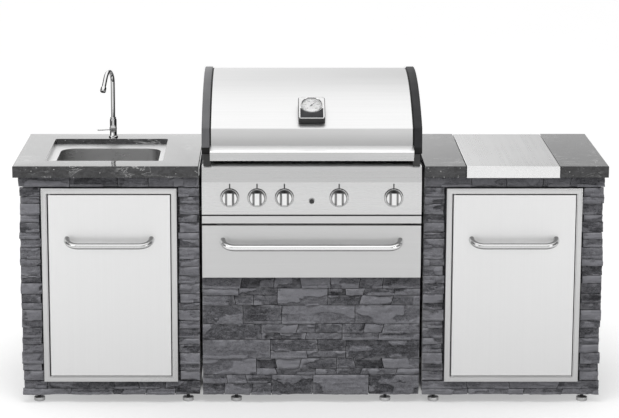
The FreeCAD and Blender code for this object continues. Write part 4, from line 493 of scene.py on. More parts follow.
# brushed steels: name, stretch along the axes, shade, roughness
# coated finishes: name, lowest and highest shade, roughness, grain's scale, relief
finishes = {
    # of the record's slots
    "steel": brushedFinish("brushedSteel", (1.2, 130, 130), 0.80, 0.24),
    "door_frame_steel": brushedFinish("frameSteel", (3, 200, 3), 0.60, 0.30, contrast=0.04),
    # painted shade: the bar's upper and lower sides, which the Steep mask picks out, are darker
    "bar_steel": brushedFinish("barSteel", (2, 240, 240), 0.65, 0.20, contrast=0.03,
                               facing=("Steep", 0.52, 0.20, 0.2)),
    "stone_veneer": stoneFinish(),
    "granite": graniteFinish(),
    "cement_board": coatedFinish("cementBoard", 0.30, 0.40, 0.88, 260, 0.0006, dust=0.3),
    "frame_paint": coatedFinish("powderCoat", 0.020, 0.034, 0.48, 1100, 0.0001, dust=0.25),
    "zinc_sheet": coatedFinish("zincSheet", 0.42, 0.47, 0.42, 90, 0.00005, metallic=0.85, blue=0.04),
    "black_plastic": coatedFinish("blackPlastic", 0.016, 0.024, 0.34, 1500, 0.00005),
    "cast_iron": coatedFinish("enamelledIron", 0.018, 0.032, 0.55, 420, 0.0003, dust=0.2),
    "brass": coatedFinish("brassFitting", (0.42, 0.29, 0.09, 1), (0.56, 0.41, 0.15, 1), 0.32, 300, 0.00003,
                          metallic=1.0),
    "aluminium": coatedFinish("castAluminium", 0.42, 0.54, 0.46, 500, 0.0001, metallic=1.0),
    "dial": coatedFinish("dialEnamel", 0.66, 0.72, 0.35, 800, 0.00001),
    "glass": glassFinish(),
    # of single pieces; the brushed steels here are copies whose shades are set piece by piece, painted light
    # and shade for how each piece is lit in place
    "doorSteel": brushedFinish("doorSteel", (90, 3, 0.9), 0.80, 0.42, contrast=0.014),
    # painted highlight: the panel's faces that look up are paler and rougher
    "panelSteel": brushedFinish("panelSteel", (0.9, 90, 90), 0.61, 0.27, contrast=0.02,
                                facing=("Up", 0.40, 0.95, 0.7)),
    "lidSteel": brushedFinish("lidSteel", (90, 1.1, 90), 0.78, 0.28, contrast=0.03),
    # painted highlight: the bowl's rim and other faces that look up are paler
    "bowlSteel": brushedFinish("bowlSteel", (18, 18, 60), 0.56, 0.30, contrast=0.015,
                               facing=("Up", 0.55, 0.78, 0.42)),
    "drawerSteel": brushedFinish("drawerSteel", (0.9, 90, 90), 0.61, 0.42, contrast=0.02),
    "traySteel": brushedFinish("traySteel", (0.9, 90, 90), 0.58, 0.30, contrast=0.02),
    # painted shade: the hood's skirt is darker towards its bottom, under the grip
    "hoodSteel": brushedFinish("hoodSteel", (1.2, 130, 130), 0.70, 0.36, contrast=0.03,
                               low=(1.015, 1.085, 0.48)),
    # painted highlight: the grip's faces that look up are paler
    "gripSteel": brushedFinish("gripSteel", (1.2, 130, 130), 0.70, 0.24, facing=("Up", 0.40, 0.92, 0.3)),
    # a paler copy of the bar steel, painted light for the drawer's bar; its upper and lower sides get painted
    # shade
    "drawerBarSteel": brushedFinish("drawerBarSteel", (2, 240, 240), 0.82, 0.20, contrast=0.03,
                                    facing=("Steep", 0.52, 0.26, 0.2)),
    "plateChrome": brushedFinish("plateChrome", (40, 3, 40), 0.62, 0.20, contrast=0.03),
    "ringChrome": chromeFinish("ringChrome", 0.62, 0.10),
    # painted reflection: the knobs, bezels and tap are darker where they look up or to the sides
    "knobChrome": chromeFinish("knobChrome", 0.74, 0.14, 0.24, 0.03, 0.16),
    "bezelChrome": chromeFinish("bezelChrome", 0.58, 0.12, None, 0.02, 0.06),
    "tapChrome": chromeFinish("tapChrome", 0.66, 0.10, 0.08, None, 0.38),
    "footSteel": coatedFinish("footCasting", 0.52, 0.64, 0.34, 500, 0.00005, metallic=0.9),
    "nameplate": coatedFinish("bareNameplate", 0.020, 0.03, 0.40, 500, 0.00002, specular=0.2, blue=0.08),
    # one casting in a lit and a shaded copy: the left cap is painted lighter, the right darker, for light
    # from the left
    "leftCasting": coatedFinish("leftCasting", 0.096, 0.112, 0.40, 1300, 0.00006, specular=0.4, blue=0.05),
    "rightCasting": coatedFinish("rightCasting", 0.022, 0.030, 0.48, 1300, 0.00006, specular=0.12, blue=0.05),
    "capBlack": coatedFinish("capBlack", 0.010, 0.016, 0.50, 1300, 0.00005, specular=0.1),
    "darkInk": coatedFinish("darkInk", 0.02, 0.03, 0.5, 900, 0.00001),
}
print("finishes made:", len(finishes))


# Shape makers

facings = {
    # rows are the directions of across, along and out
    "front": np.array([[1, 0, 0], [0, 0, 1], [0, -1, 0]], float),
    "top": np.eye(3),
    "side": np.array([[0, 1, 0], [0, 0, 1], [1, 0, 0]], float),
}
sharpAngle = math.radians(34)


def unit(vectors):
    # vectors divided by their lengths
    return vectors / np.linalg.norm(vectors, axis=-1, keepdims=True)


def eased(points, radius, steps=4, closed=True):
    # an outline whose corners become arcs; an arc touches both sides at radius / tan(half the corner),
    # or just short of their middles
    points = np.asarray(points, float)
    radii = np.broadcast_to(radius, len(points))
    share = np.linspace(0, 1, steps + 1)[:, None]
    straight = 1.55                # half of a corner that is too flat for an arc
    parts = []
    for number, point in enumerate(points):
        sides = np.stack([points[number - 1], points[(number + 1) % len(points)]]) - point
        lengths = np.linalg.norm(sides, axis=1)
        sides = unit(sides)
        halfCorner = math.acos(np.clip(sides[0] @ sides[1], -1, 1)) / 2
        isEnd = not closed and number in (0, len(points) - 1)
        if radii[number] <= 0 or isEnd or halfCorner > straight:
            parts.append(point[None])
            continue
        reach = min(radii[number] / math.tan(halfCorner), 0.49 * lengths[0], 0.49 * lengths[1])
        centre = point + unit(sides.sum(0)) * reach / math.cos(halfCorner)
        start, end = point + sides * reach - centre
        sweep = math.pi - 2 * halfCorner
        arc = (np.sin((1 - share) * sweep) * start + np.sin(share * sweep) * end) / math.sin(sweep)
        parts.append(centre + arc)
    return np.concatenate(parts)


def arcPoints(centre, radius, begin, end, count):
    # points on a circle between two angles in degrees
    angle = np.radians(np.linspace(begin, end, count))
    return np.stack([centre[0] + radius * np.cos(angle), centre[1] + radius * np.sin(angle)], 1)


def rectanglePoints(width, height, radius=0.0, centre=(0, 0), steps=4):
    # four corners round a centre, eased where a radius is given
    x, y = width / 2, height / 2
    corners = np.array([(-x, -y), (x, -y), (x, y), (-x, y)]) + centre
    return eased(corners, radius, steps) if radius else corners


def circlePoints(radius, count=64, centre=(0, 0)):
    # a full circle in equal steps, without its first point twice
    return arcPoints(centre, radius, 0, 360 * (count - 1) / count, count)


def inwardOf(outline, closed=True):
    # direction at each point that moves both its sides by one unit to the left of the way
    ahead = unit(np.roll(outline, -1, 0) - outline)
    behind = np.roll(ahead, 1, 0)
    if not closed:
        ahead[-1] = ahead[-2]
        behind[0] = ahead[0]
    left = np.stack([-ahead[:, 1], ahead[:, 0]], 1)
    leftBehind = np.stack([-behind[:, 1], behind[:, 0]], 1)
    return (left + leftBehind) / (1 + (left * leftBehind).sum(1, keepdims=True))


def sheetOutline(line, thick):
    # closed outline of a folded sheet: a line and the same line moved to its left
    line = np.asarray(line, float)
    return np.concatenate([line, (line + inwardOf(line, False) * thick)[::-1]])


def ringSkin(rings, loop=False):
    # quads between closed rings of points; the first and last are filled, or joined in a loop
    rows, columns = rings.shape[:2]
    i, j = np.meshgrid(np.arange(rows if loop else rows - 1), np.arange(columns), indexing="ij")
    k, n = (i + 1) % rows, (j + 1) % columns
    faces = np.stack([i * columns + j, i * columns + n, k * columns + n, k * columns + j], -1)
    faces = faces.reshape(-1, 4).tolist()
    if not loop:
        faces.append(list(range(columns))[::-1])
        faces.append(list(range((rows - 1) * columns, rows * columns)))
    return rings.reshape(-1, 3), faces


def plate(outline, profile, facing, origin=(0, 0, 0), loop=False):
    # an outline moved inwards by each profile pair's first number, at the height of its second
    outline = np.asarray(outline, float)
    profile = np.asarray(profile, float)
    inward = inwardOf(outline)
    x, y = outline.T
    if (x * np.roll(y, -1) - np.roll(x, -1) * y).sum() < 0:
        inward = -inward
    flat = outline[None] + inward[None] * profile[:, None, :1]
    high = np.broadcast_to(profile[:, None, 1:], flat.shape[:2] + (1,))
    return ringSkin(np.concatenate([flat, high], 2) @ facing + np.asarray(origin, float), loop)


def turned(profile, facing, origin, count=64):
    # a profile of radius and height pairs carried round an axis
    profile = np.asarray(profile, float)
    wide = profile[:, 0].max()
    pairs = np.stack([wide - np.maximum(profile[:, 0], 1e-6), profile[:, 1]], 1)
    return plate(circlePoints(wide, count), pairs, facing, origin)


def inMillimetres(pairs):
    # pairs written in millimetres, as metres
    return np.array(pairs) / 1000


def tubeRings(path, radii, side, count=32):
    # round sections along a flat path: at angle a a point lies radius * (side * cos a + other * sin a)
    # off the path, where side is square to the path's plane and other lies in it
    path = np.asarray(path, float)
    ahead = unit(np.gradient(path, axis=0))
    side = np.broadcast_to(np.asarray(side, float), path.shape)
    other = np.cross(ahead, side)
    angle = np.linspace(0, 2 * math.pi, count, endpoint=False)
    radii = np.broadcast_to(radii, len(path))[:, None, None]
    return path[:, None] + radii * (np.cos(angle)[None, :, None] * side[:, None]
                                    + np.sin(angle)[None, :, None] * other[:, None])


def joinShells(shells):
    # one list of points and one of faces from several shells
    points, faces, start = [], [], 0
    for shellPoints, shellFaces in shells:
        points.append(np.asarray(shellPoints, float))
        faces += [[index + start for index in face] for face in shellFaces]
        start += len(shellPoints)
    return np.concatenate(points).tolist(), faces


def makeMesh(name, shells, sharp=sharpAngle):
    # one tidied mesh of several shells
    mesh = bpy.data.meshes.new(name)
    points, faces = joinShells(shells)
    mesh.from_pydata(points, [], faces)
    return tidyMesh(mesh, sharp)


def tidyMesh(mesh, sharp=sharpAngle, merge=1e-6, flatten=0.0):
    # doubles merged, flat faces made whole up to an angle, faces outwards, and edges over an angle sharp
    work = bmesh.new()
    work.from_mesh(mesh)
    if merge:
        bmesh.ops.remove_doubles(work, verts=work.verts, dist=merge)
        bmesh.ops.dissolve_degenerate(work, edges=work.edges, dist=merge)
    if flatten:
        bmesh.ops.dissolve_limit(work, angle_limit=flatten, verts=work.verts, edges=work.edges)
    bmesh.ops.recalc_face_normals(work, faces=work.faces)
    work.to_mesh(mesh)
    work.free()
    mesh.shade_smooth()
    mesh.set_sharp_from_angle(angle=sharp)
    return mesh


slotOf = {part["node"]: part["material_slot"] for part in frame["record"]["subparts"]}
bodyOf = {node: body for body, nodes in frame["record"]["behaviour"]["bodies"].items() for node in nodes}
done = set()             # CAD nodes that have had their looks


def addPiece(name, shape, body, slot, replaced=(), finish=None, bevel=0.0):
    # a piece of shells or of a finished mesh; without a finish of its own it has its slot's
    mesh = shape if isinstance(shape, bpy.types.Mesh) else makeMesh(name, shape)
    piece = bpy.data.objects.new(name, mesh)
    bpy.context.scene.collection.objects.link(piece)
    mesh.materials.clear()
    mesh.materials.append(finishes[finish or slot])
    if bevel:
        softened = piece.modifiers.new("edges", "BEVEL")
        softened.width = bevel
        softened.segments = 2
        softened.limit_method = "ANGLE"
        softened.angle_limit = math.radians(40)
        softened.harden_normals = True
    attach(piece, body)
    if replaced:
        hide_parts(*replaced)
        done.update(replaced)


def dress(node, finish=None, bevel=0.0006):
    # a copy of a CAD node with its flat faces whole again and its edges softened
    mesh = tidyMesh(frame["nodes"][node].data.copy(), merge=2e-5, flatten=0.01)
    name = "".join(part.capitalize() for part in node.split("_"))
    addPiece(name[0].lower() + name[1:], mesh, bodyOf[node], slotOf[node], (node,), finish, bevel)


# Stone walls: every block of the CAD wall gets a split face of its own

stone = {
    "cell": (0.0040, 0.0030),  # size of a face's mesh cells along and up
    "planes": (4, 8),          # how many planes a face broke along, the second not reached
    "tilt": (0.10, 0.20),      # how far they lean along and up
    "facet": 0.0048,           # how far they start from each other
    "deepest": (0.008, 0.75),  # most that they cut, and the share of it that is kept
    "flake": 0.0058,           # how far the plates that stayed on a face stand out of it
    "plateLean": (0.35, 0.30),
    "plateField": (1.3, 0.16, 26),   # shares of the noise and of its edge's, and how steep the plates end
    "plateCut": (0.35, 1.0),   # level of the noise above which a plate stayed
    "lip": 0.009,              # height of the thin ledge along the foot of some stones
    "lipHeights": (0.75, 0.5),       # that height's least share, and what the noise adds
    "lipChance": 0.42,
    "lipFrom": 0.018,          # lowest stone that has one
    "lipEnds": (0.35, 1.3),    # shares of the stone's length between which it ends
    "lipCalm": (0.55, 0.3),    # what is left of the plates above a ledge, and of the planes on it
    "ripple": 0.0010,
    "rippleShares": (1.2, 1.6),      # of the bumps and of the broad waves, for one of the layers
    "ridge": 0.0060,
    "chip": 0.0032,            # how far the edges are knocked back
    "chipDepth": (0.35, 1.1),  # that depth's least share, and what the noise adds
    "chipReach": (0.0014, 0.0050),   # how far it fades inwards, and what the noise adds
    "ragged": 0.0016,          # how far an edge wanders into its joint
    "raggedSpan": (0.9, 0.5),  # the noise's share of that way, and what is taken off it
    "paleFrom": 0.45,          # level of the noise above which a knocked edge is pale, partly the broken stone's own face and partly a painted highlight
    "most": 0.016,             # deepest place of a face
    "relief": 0.007,           # how far the CAD wall's blocks differ in depth
    "bed": 0.003,              # mortar bed behind the stones
    "bedInsets": (0.002, 0.024, 0.016),      # at its edges, at the island's ends and under the door frames
    "tones": (0.50, 0.30, 0.42),     # how much chance, the stone's depth and its plates brighten it; depth and plates paint highlight on proud stones and shade on deep ones
    "sharp": math.radians(38),
    "seed": 4,
    # lattice cells for each metre, along and up
    "plates": (15, 32),
    "plateEdge": (90, 120),
    "ledge": (12, 0),
    "layers": (22, 190),
    "bumps": (95, 130),
    "broad": (24, 38),
    "ridges": (30, 55),
    "wander": (60, 75),
}


def latticeNoise(points, rng):
    # smooth noise: random values on a lattice, blended between its points
    shift = rng.random(points.shape[1]) * 31
    points = points + shift
    cell = np.floor(points).astype(int)
    part = points - cell
    part = part * part * (3 - 2 * part)
    table = rng.random((64, 64))
    x, y = cell[:, 0] % 63, cell[:, 1] % 63
    low = table[x, y] * (1 - part[:, 0]) + table[x + 1, y] * part[:, 0]
    high = table[x, y + 1] * (1 - part[:, 0]) + table[x + 1, y + 1] * part[:, 0]
    return low * (1 - part[:, 1]) + high * part[:, 1]


def looseCorners(node):
    # corners of each separate block in a CAD node: every corner takes the lowest number that its
    # triangles reach, until nothing changes
    mesh = frame["nodes"][node].data
    spots = np.empty(len(mesh.vertices) * 3)
    mesh.vertices.foreach_get("co", spots)
    spots, same = np.unique(np.round(spots.reshape(-1, 3), 5), axis=0, return_inverse=True)
    mesh.calc_loop_triangles()
    triangles = np.empty(len(mesh.loop_triangles) * 3, int)
    mesh.loop_triangles.foreach_get("vertices", triangles)
    triangles = same.ravel()[triangles].reshape(-1, 3)
    label = np.arange(len(spots))
    while True:
        lowest = np.repeat(label[triangles].min(1), 3)
        following = label.copy()
        np.minimum.at(following, triangles.ravel(), lowest)
        if (following == label).all():
            break
        label = following
    return [spots[label == number] for number in np.unique(label)]


def stoneBlock(corners, rng):
    # one stone from its eight corners: a rough face on a grid and plain sides behind it; a point of
    # the face is the corners' mean by its shares s and t, moved in by its depth
    onFront = corners[:, 1].max() < boardY + 0.001
    deep = 1 if onFront else 0
    along = 0 if onFront else 1
    outward = -1 if onFront else np.sign(corners[:, 0].mean())
    order = np.argsort(corners[:, deep] * outward)
    back = corners[order[:4], deep].mean()
    face = corners[order[4:]]
    face = face[np.argsort(face[:, 2])]
    low = face[:2][np.argsort(face[:2, along])]
    high = face[2:][np.argsort(face[2:, along])]
    width = low[1, along] - low[0, along]
    height = high[0, 2] - low[0, 2]
    columns = max(int(width / stone["cell"][0]), 4) + 1
    rows = max(int(height / stone["cell"][1]), 4) + 1
    s, t = np.meshgrid(np.linspace(0, 1, columns), np.linspace(0, 1, rows), indexing="ij")
    s, t = s.ravel(), t.ravel()
    spread = (low[0] * ((1 - s) * (1 - t))[:, None] + low[1] * (s * (1 - t))[:, None]
              + high[0] * ((1 - s) * t)[:, None] + high[1] * (s * t)[:, None])
    across, up = spread[:, along], spread[:, 2]

    def noise(key):
        return latticeNoise(np.stack([across, up], 1) * stone[key], rng)

    # planes that the stone split along: the deepest of a few tilted ones wins
    count = rng.integers(*stone["planes"])
    slopes = rng.normal(0, 1, (count, 2)) * stone["tilt"]
    centres = [rng.uniform(line.min(), line.max(), count) for line in (across, up)]
    starts = rng.uniform(0, stone["facet"], count)
    leans = [(line[:, None] - centres[way]) * slopes[:, way] for way, line in enumerate((across, up))]
    depth = (starts + leans[0] + leans[1]).max(1)
    deepest, kept = stone["deepest"]
    depth = np.minimum(depth - depth.min(), deepest) * kept
    # plates: where a tilted smooth noise is high, the face stays proud, with a ragged edge round it
    lean = rng.normal(0, 1, 2) * stone["plateLean"]
    broadShare, edgeShare, steepness = stone["plateField"]
    field = broadShare * noise("plates") + lean[0] * (s - 0.5) + lean[1] * (t - 0.5)
    field += edgeShare * noise("plateEdge")
    proudPlates = np.clip((field - rng.uniform(*stone["plateCut"])) * steepness, 0, 1)
    # a ledge along the foot, from one end to lipEnd of the stone's length
    hasLip = rng.random() < stone["lipChance"] and height > stone["lipFrom"]
    lipEnd = rng.uniform(*stone["lipEnds"]) if hasLip else 0
    least, more = stone["lipHeights"]
    lipHeight = stone["lip"] * (least + more * noise("ledge"))
    fromEnd = s if rng.random() < 0.5 else 1 - s
    ledge = (t * height < lipHeight) & (fromEnd < lipEnd)
    platesLeft, planesLeft = stone["lipCalm"]
    proudPlates = np.where(ledge, 1.0, proudPlates * (platesLeft if lipEnd else 1.0))
    depth = depth * np.where(ledge, planesLeft, 1.0) + stone["flake"] * (1 - proudPlates)
    layers, bumps, broad = [noise(key) for key in ("layers", "bumps", "broad")]
    ridges = np.abs(noise("ridges") - 0.5)
    ofBumps, ofBroad = stone["rippleShares"]
    depth += stone["ripple"] * (layers + ofBumps * bumps + ofBroad * broad) + stone["ridge"] * ridges
    # knocked edges: e metres from the nearest edge, deepest there and fading within a few millimetres
    e = np.minimum(np.minimum(s, 1 - s) * width, np.minimum(t, 1 - t) * height)
    wander = noise("wander")
    least, more = stone["chipReach"]
    near = np.exp(-e / (least + more * wander))
    least, more = stone["chipDepth"]
    depth += stone["chip"] * near * (least + more * wander)
    depth = np.minimum(depth, stone["most"])
    # the rim wanders to and from the stone's middle
    rim = (s == 0) | (s == 1) | (t == 0) | (t == 1)
    middle = spread.mean(0)
    far = np.maximum(np.hypot(across - middle[along], up - middle[2]), 0.01)
    share, taken = stone["raggedSpan"]
    shrink = 1 - rim * stone["ragged"] * (share * wander - taken) / far
    points = spread.copy()
    points[:, along] = middle[along] + (across - middle[along]) * shrink
    points[:, 2] = middle[2] + (up - middle[2]) * shrink
    points[:, deep] = spread[:, deep] - outward * depth
    grid = np.arange(columns * rows).reshape(columns, rows)
    faces = np.stack([grid[:-1, :-1], grid[1:, :-1], grid[1:, 1:], grid[:-1, 1:]], -1).reshape(-1, 4).tolist()
    # the sides, from the rim straight back to the board, and the back
    ring = np.concatenate([grid[:-1, 0], grid[-1, :-1], grid[:0:-1, -1], grid[0, :0:-1]])
    skirt = points[ring].copy()
    skirt[:, deep] = back
    behind = columns * rows + np.arange(len(ring))
    faces += np.stack([np.roll(ring, -1), ring, behind, np.roll(behind, -1)], 1).tolist()
    faces.append(behind.tolist())
    # paler where it stands out of the wall and on its plates, a painted highlight with painted shade on the
    # deeper stones; the chance part is the stones' own tone
    proud = np.clip((np.abs(face[:, deep] - back).mean() - stone["shallow"]) / stone["relief"], 0, 1)
    byChance, byDepth, byPlates = stone["tones"]
    tone = byChance * rng.random() + byDepth * proud + np.append(byPlates * proudPlates, np.zeros(len(ring)))
    # knocked edges are paler, partly the stone's own broken face and partly a painted highlight
    edge = np.append(near * (wander > stone["paleFrom"]), np.zeros(len(ring)))
    return (np.concatenate([points, skirt]), faces), tone, edge


def wallBeds(node):
    # the mortar that a wall's blocks are set in: a thin sheet on the front, open where the door is
    hand = node.split("_")[0]
    low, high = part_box(node)
    inset, outerInset, under = stone["bedInsets"]
    top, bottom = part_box("cement_boards")[1].z - inset, low.z + inset
    section = [(0, -boardY), (0, stone["bed"] - boardY)]
    if hand == "middle":
        spans = [(low.x + inset, high.x - inset, bottom, high.z - inset)]
    else:
        left = low.x + (outerInset if hand == "left" else inset)
        right = high.x - (inset if hand == "left" else outerInset)
        doorLow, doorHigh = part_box(hand + "_door_frame")
        spans = [(left, doorLow.x + under, bottom, top),
                 (doorHigh.x - under, right, bottom, top),
                 (doorLow.x, doorHigh.x, bottom, doorLow.z + under),
                 (doorLow.x, doorHigh.x, doorHigh.z - under, top)]
    return [plate([(x0, z0), (x1, z0), (x1, z1), (x0, z1)], section, facings["front"])
            for x0, x1, z0, z1 in spans]


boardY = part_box("cement_boards")[0].y
stone["shallow"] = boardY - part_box("middle_stone_veneer")[0].y - stone["relief"]
for node in ("left_stone_veneer", "middle_stone_veneer", "right_stone_veneer"):
    rng = np.random.default_rng(stone["seed"] + len(node))
    blocks = [stoneBlock(corners, rng) for corners in looseCorners(node)]
    blocks += [(bed, np.zeros(len(bed[0])), np.zeros(len(bed[0]))) for bed in wallBeds(node)]
    shells, tones, edges = zip(*blocks)
    mesh = bpy.data.meshes.new(node)
    points, faces = joinShells(shells)
    mesh.from_pydata(points, [], faces)
    for label, values in (("tone", tones), ("edge", edges)):
        mesh.attributes.new(label, "FLOAT", "POINT").data.foreach_set("value", np.concatenate(values))
    tidyMesh(mesh, stone["sharp"], merge=0)
    addPiece(node.split("_")[0] + "Stones", mesh, "island", "stone_veneer", (node,))
print("stone walls built")


# Hood: skin, grip and end caps, drawn in the plane of Y and Z and carried along X

hood = {
    "half": 0.380,             # half the skin's width
    "front": frontY + 0.008,
    "bottom": 0.962,
    "crease": (frontY + 0.018, 1.082),
    "creaseRound": 0.007,
    "crest": (frontY + 0.575, 1.225),
    "radius": 0.850,
    "corner": 0.025,
    "backBottom": 1.046,
    "sheet": 0.002,
    # the grip from the side, measured from the worktop's front edge, and how its corners are rounded
    "grip": [(-0.0070, 0.962), (-0.0200, 0.9940), (-0.0220, 0.9970), (-0.0190, 1.0000), (0.0126, 1.0172),
             (0.0080, 0.962)],
    "gripRound": [0.0015, 0.002, 0.002, 0.002, 0.0006, 0.0002],
    "gripHalf": 0.385,
    "gripEdge": 0.0008,
    "capStep": 0.006,          # black strip between the skin and the casting
    "stripDepth": 0.012,
    "capWidth": 0.036,
    "capProud": 0.005,
    "capBottom": 0.952,
    "capHeel": 0.014,          # radius of its lower back corner
    "notchTop": 0.986,
    "notchBack": frontY + 0.054,
    "shoeTop": 1.011,
    "shoeRound": [0.006, 0.0004, 0.0004, 0.0004],
    "shoeEdge": 0.001,
    # a casting's edge in millimetres: inwards, and from its outer side
    "capSection": [(2.2, 0), (0.9, 0.35), (0.25, 1.0), (0, 2.2), (0, 28.2), (0.4, 29.4), (1.4, 30),
                   (10.6, 30), (11.7, 29.4), (12.0, 28.4), (12.3, 5.5), (13.0, 4.3), (14.5, 4.0)],
}

# the arc's centre lies under the middle of the chord from the crease to the crest
chord = np.array(hood["crest"]) - hood["crease"]
halfChord = np.linalg.norm(chord) / 2
bulge = math.asin(halfChord / hood["radius"])
chordAngle = math.atan2(chord[1], chord[0])
hoodCentre = (np.array(hood["crest"]) + hood["crease"]) / 2 - (
    np.array([-chord[1], chord[0]]) / (2 * halfChord) * hood["radius"] * math.cos(bulge))
creaseAngle = 90 + math.degrees(chordAngle + bulge)
crestAngle = 90 + math.degrees(chordAngle - bulge)


def skirtAt(height, offset):
    # the skirt's front at a height, moved out by the offset
    share = (height - hood["bottom"]) / (hood["crease"][1] - hood["bottom"])
    return (hood["front"] + (hood["crease"][0] - hood["front"]) * share - offset, height)


def hoodLine(offset, bottomFront, bottomBack):
    # front edge, crease, arc, back corner and back edge, all moved out by the offset
    arc = arcPoints(hoodCentre, hood["radius"] + offset, creaseAngle, crestAngle, 72)
    arc = arc[6:]            # the crease's rounding stands for its first points
    corner = hood["corner"] + offset
    bend = arcPoints((hood["crest"][0], hood["crest"][1] - hood["corner"]), corner, 84, 0, 14)
    crease = (hood["crease"][0] - offset, hood["crease"][1] + offset * 0.6)
    start = eased([skirtAt(bottomFront, offset), crease, arc[0]], hood["creaseRound"] + offset, 8, False)[:-1]
    return np.concatenate([start, arc, bend, [(hood["crest"][0] + corner, bottomBack)]])


def capOutline(offset, bottomFront):
    # a cap from the side, notched in front over its rest
    heel, bottom, notch = hood["capHeel"], hood["capBottom"], hood["notchBack"]
    line = hoodLine(offset, bottomFront, bottom + heel)
    back = arcPoints((line[-1, 0] - heel, bottom + heel), heel, 0, -90, 9)[1:]
    return np.concatenate([line, back, [(notch, bottom), (notch, bottomFront)]])


half = hood["half"]
skin = sheetOutline(hoodLine(0, hood["bottom"], hood["backBottom"]), -hood["sheet"])
addPiece("hoodSkin", [plate(skin, [(0, -half), (0, half)], facings["side"])], "hood", "steel", ("hood_skin",),
         "hoodSteel")

grip = eased(np.array(hood["grip"]) + (frontY, 0), hood["gripRound"], 5)
end, edge = hood["gripHalf"], hood["gripEdge"]
gripSection = [(edge, -end), (0, edge - end), (0, end - edge), (edge, end)]
addPiece("hoodGrip", [plate(grip, gripSection, facings["side"])], "hood", "steel", ("hood_handle",),
         "gripSteel")

proud, back, below, above = hood["capProud"], hood["notchBack"], hood["notchTop"], hood["shoeTop"]
shoe = eased([(skirtAt(below, proud)[0], below), skirtAt(above, proud), (back, above), (back, below)],
             hood["shoeRound"], 5)
inner, outer, edge = half + hood["capStep"], half + hood["capWidth"], hood["shoeEdge"]
shoeSection = [(edge, outer), (0, outer - edge), (0, inner + edge), (edge, inner)]
stripSection = [(0, inner), (0, half), (hood["stripDepth"], half), (hood["stripDepth"], inner)]
capSection = inMillimetres(hood["capSection"]) * (1, -1) + (0, outer)
for side, hand in ((-1, "Left"), (1, "Right")):
    sections = [np.array(section) * (1, side) for section in (capSection, stripSection, shoeSection)]
    casting = plate(capOutline(proud, above), sections[0], facings["side"])
    strip = plate(capOutline(0.0, below), sections[1], facings["side"], loop=True)
    ends = plate(shoe, sections[2], facings["side"])
    # each cap takes its lit or shaded copy of the casting, painted light
    addPiece("hoodCap" + hand, [casting], "hood", "cap_casting", (f"hood_{hand.lower()}_cap",),
             hand.lower() + "Casting")
    addPiece("hoodShoe" + hand, [strip, ends], "hood", "cap_casting", finish="capBlack")
print("hood built")


# Control panel, with a rounded top edge

panel = {
    "half": 0.416,
    "face": frontY + 0.004,
    "bottom": 0.751,
    "flatTop": 0.878,
    "topBack": frontY + 0.056,
    "deck": 0.9386,
    "lean": 14 / 48,           # how far the upper part leans back for each metre up
    "rounds": [0, 0.003, 0.004, 0.010, 0],
    "sheet": 0.002,
    "return": 0.024,
    "cheek": (0.024, 0.125),   # depth and height of the plates that close its ends
    "cheekMiddle": 0.8155,
    "cheekSides": (0.414, 0.412),
}

face = panel["face"]
lip = (face + panel["lean"] * (panel["deck"] - panel["flatTop"]), panel["deck"])
panelLine = eased([(face + panel["return"], panel["bottom"]), (face, panel["bottom"]),
                   (face, panel["flatTop"]), lip, (panel["topBack"], panel["deck"])],
                  panel["rounds"], 8, False)
cheekPlace = (face + panel["sheet"] + panel["cheek"][0] / 2, panel["cheekMiddle"])
cheek = rectanglePoints(*panel["cheek"], 0, cheekPlace)
panelShells = [plate(sheetOutline(panelLine, -panel["sheet"]), [(0, -panel["half"]), (0, panel["half"])],
                     facings["side"])]
panelShells += [plate(cheek, [(0, side * x) for x in panel["cheekSides"]], facings["side"])
                for side in (-1, 1)]
addPiece("controlPanel", panelShells, "island", "steel", ("control_panel",), "panelSteel")


# Knobs: chrome bezels round turned knobs with a grip across them, and the igniter's button

knobs = {
    "steps": (-3, -2, -1, 1, 3),     # places from the middle, in pitches
    "pitch": 0.1035,
    "height": 0.818,
    "radius": 0.030,
    "depth": 0.028,
    "base": 0.0142,            # depth of the turned base below the grip
    "baseFall": 0.0022,        # how much lower it is at its rim
    "gripHalf": 0.0134,
    "gripLength": 0.0262,
    "gripFall": 0.0010,        # how much lower the grip is at its sides
    "steep": 11,               # how steeply the grip rises
    "back": face - 0.0033,
    "rim": (0.0018, 0.0045, 0.0080),     # rings on the rim's side, from its front edge
    "sharp": math.radians(40),
    "bezel": 0.0365,
    # sections in millimetres: inwards from the rim, and out of the panel
    "bezelSection": [(0.0, 0.0), (0.0, 0.6), (2.5, 4.7), (2.9, 5.0), (4.9, 5.0), (5.2, 4.6), (5.4, 2.2),
                     (30.0, 2.1)],
    "mark": (0.0048, 0.0170),  # the line on the panel that shows where a knob is off
    "markUp": 0.0455,
}
igniter = {
    "height": 0.805,
    "ring": 0.0120,
    "ringSection": [(0, 0), (0, 2.2), (0.7, 3.0), (2.2, 3.0), (3.1, 2.3), (3.1, 0)],
    "button": [(0.0, 11.0), (3.0, 10.95), (6.2, 10.6), (7.6, 9.9), (8.4, 8.8), (8.5, 7.5), (8.5, -12),
               (0.0, -12)],
}
ink = [(0, -0.0002), (0, 0.0002)]


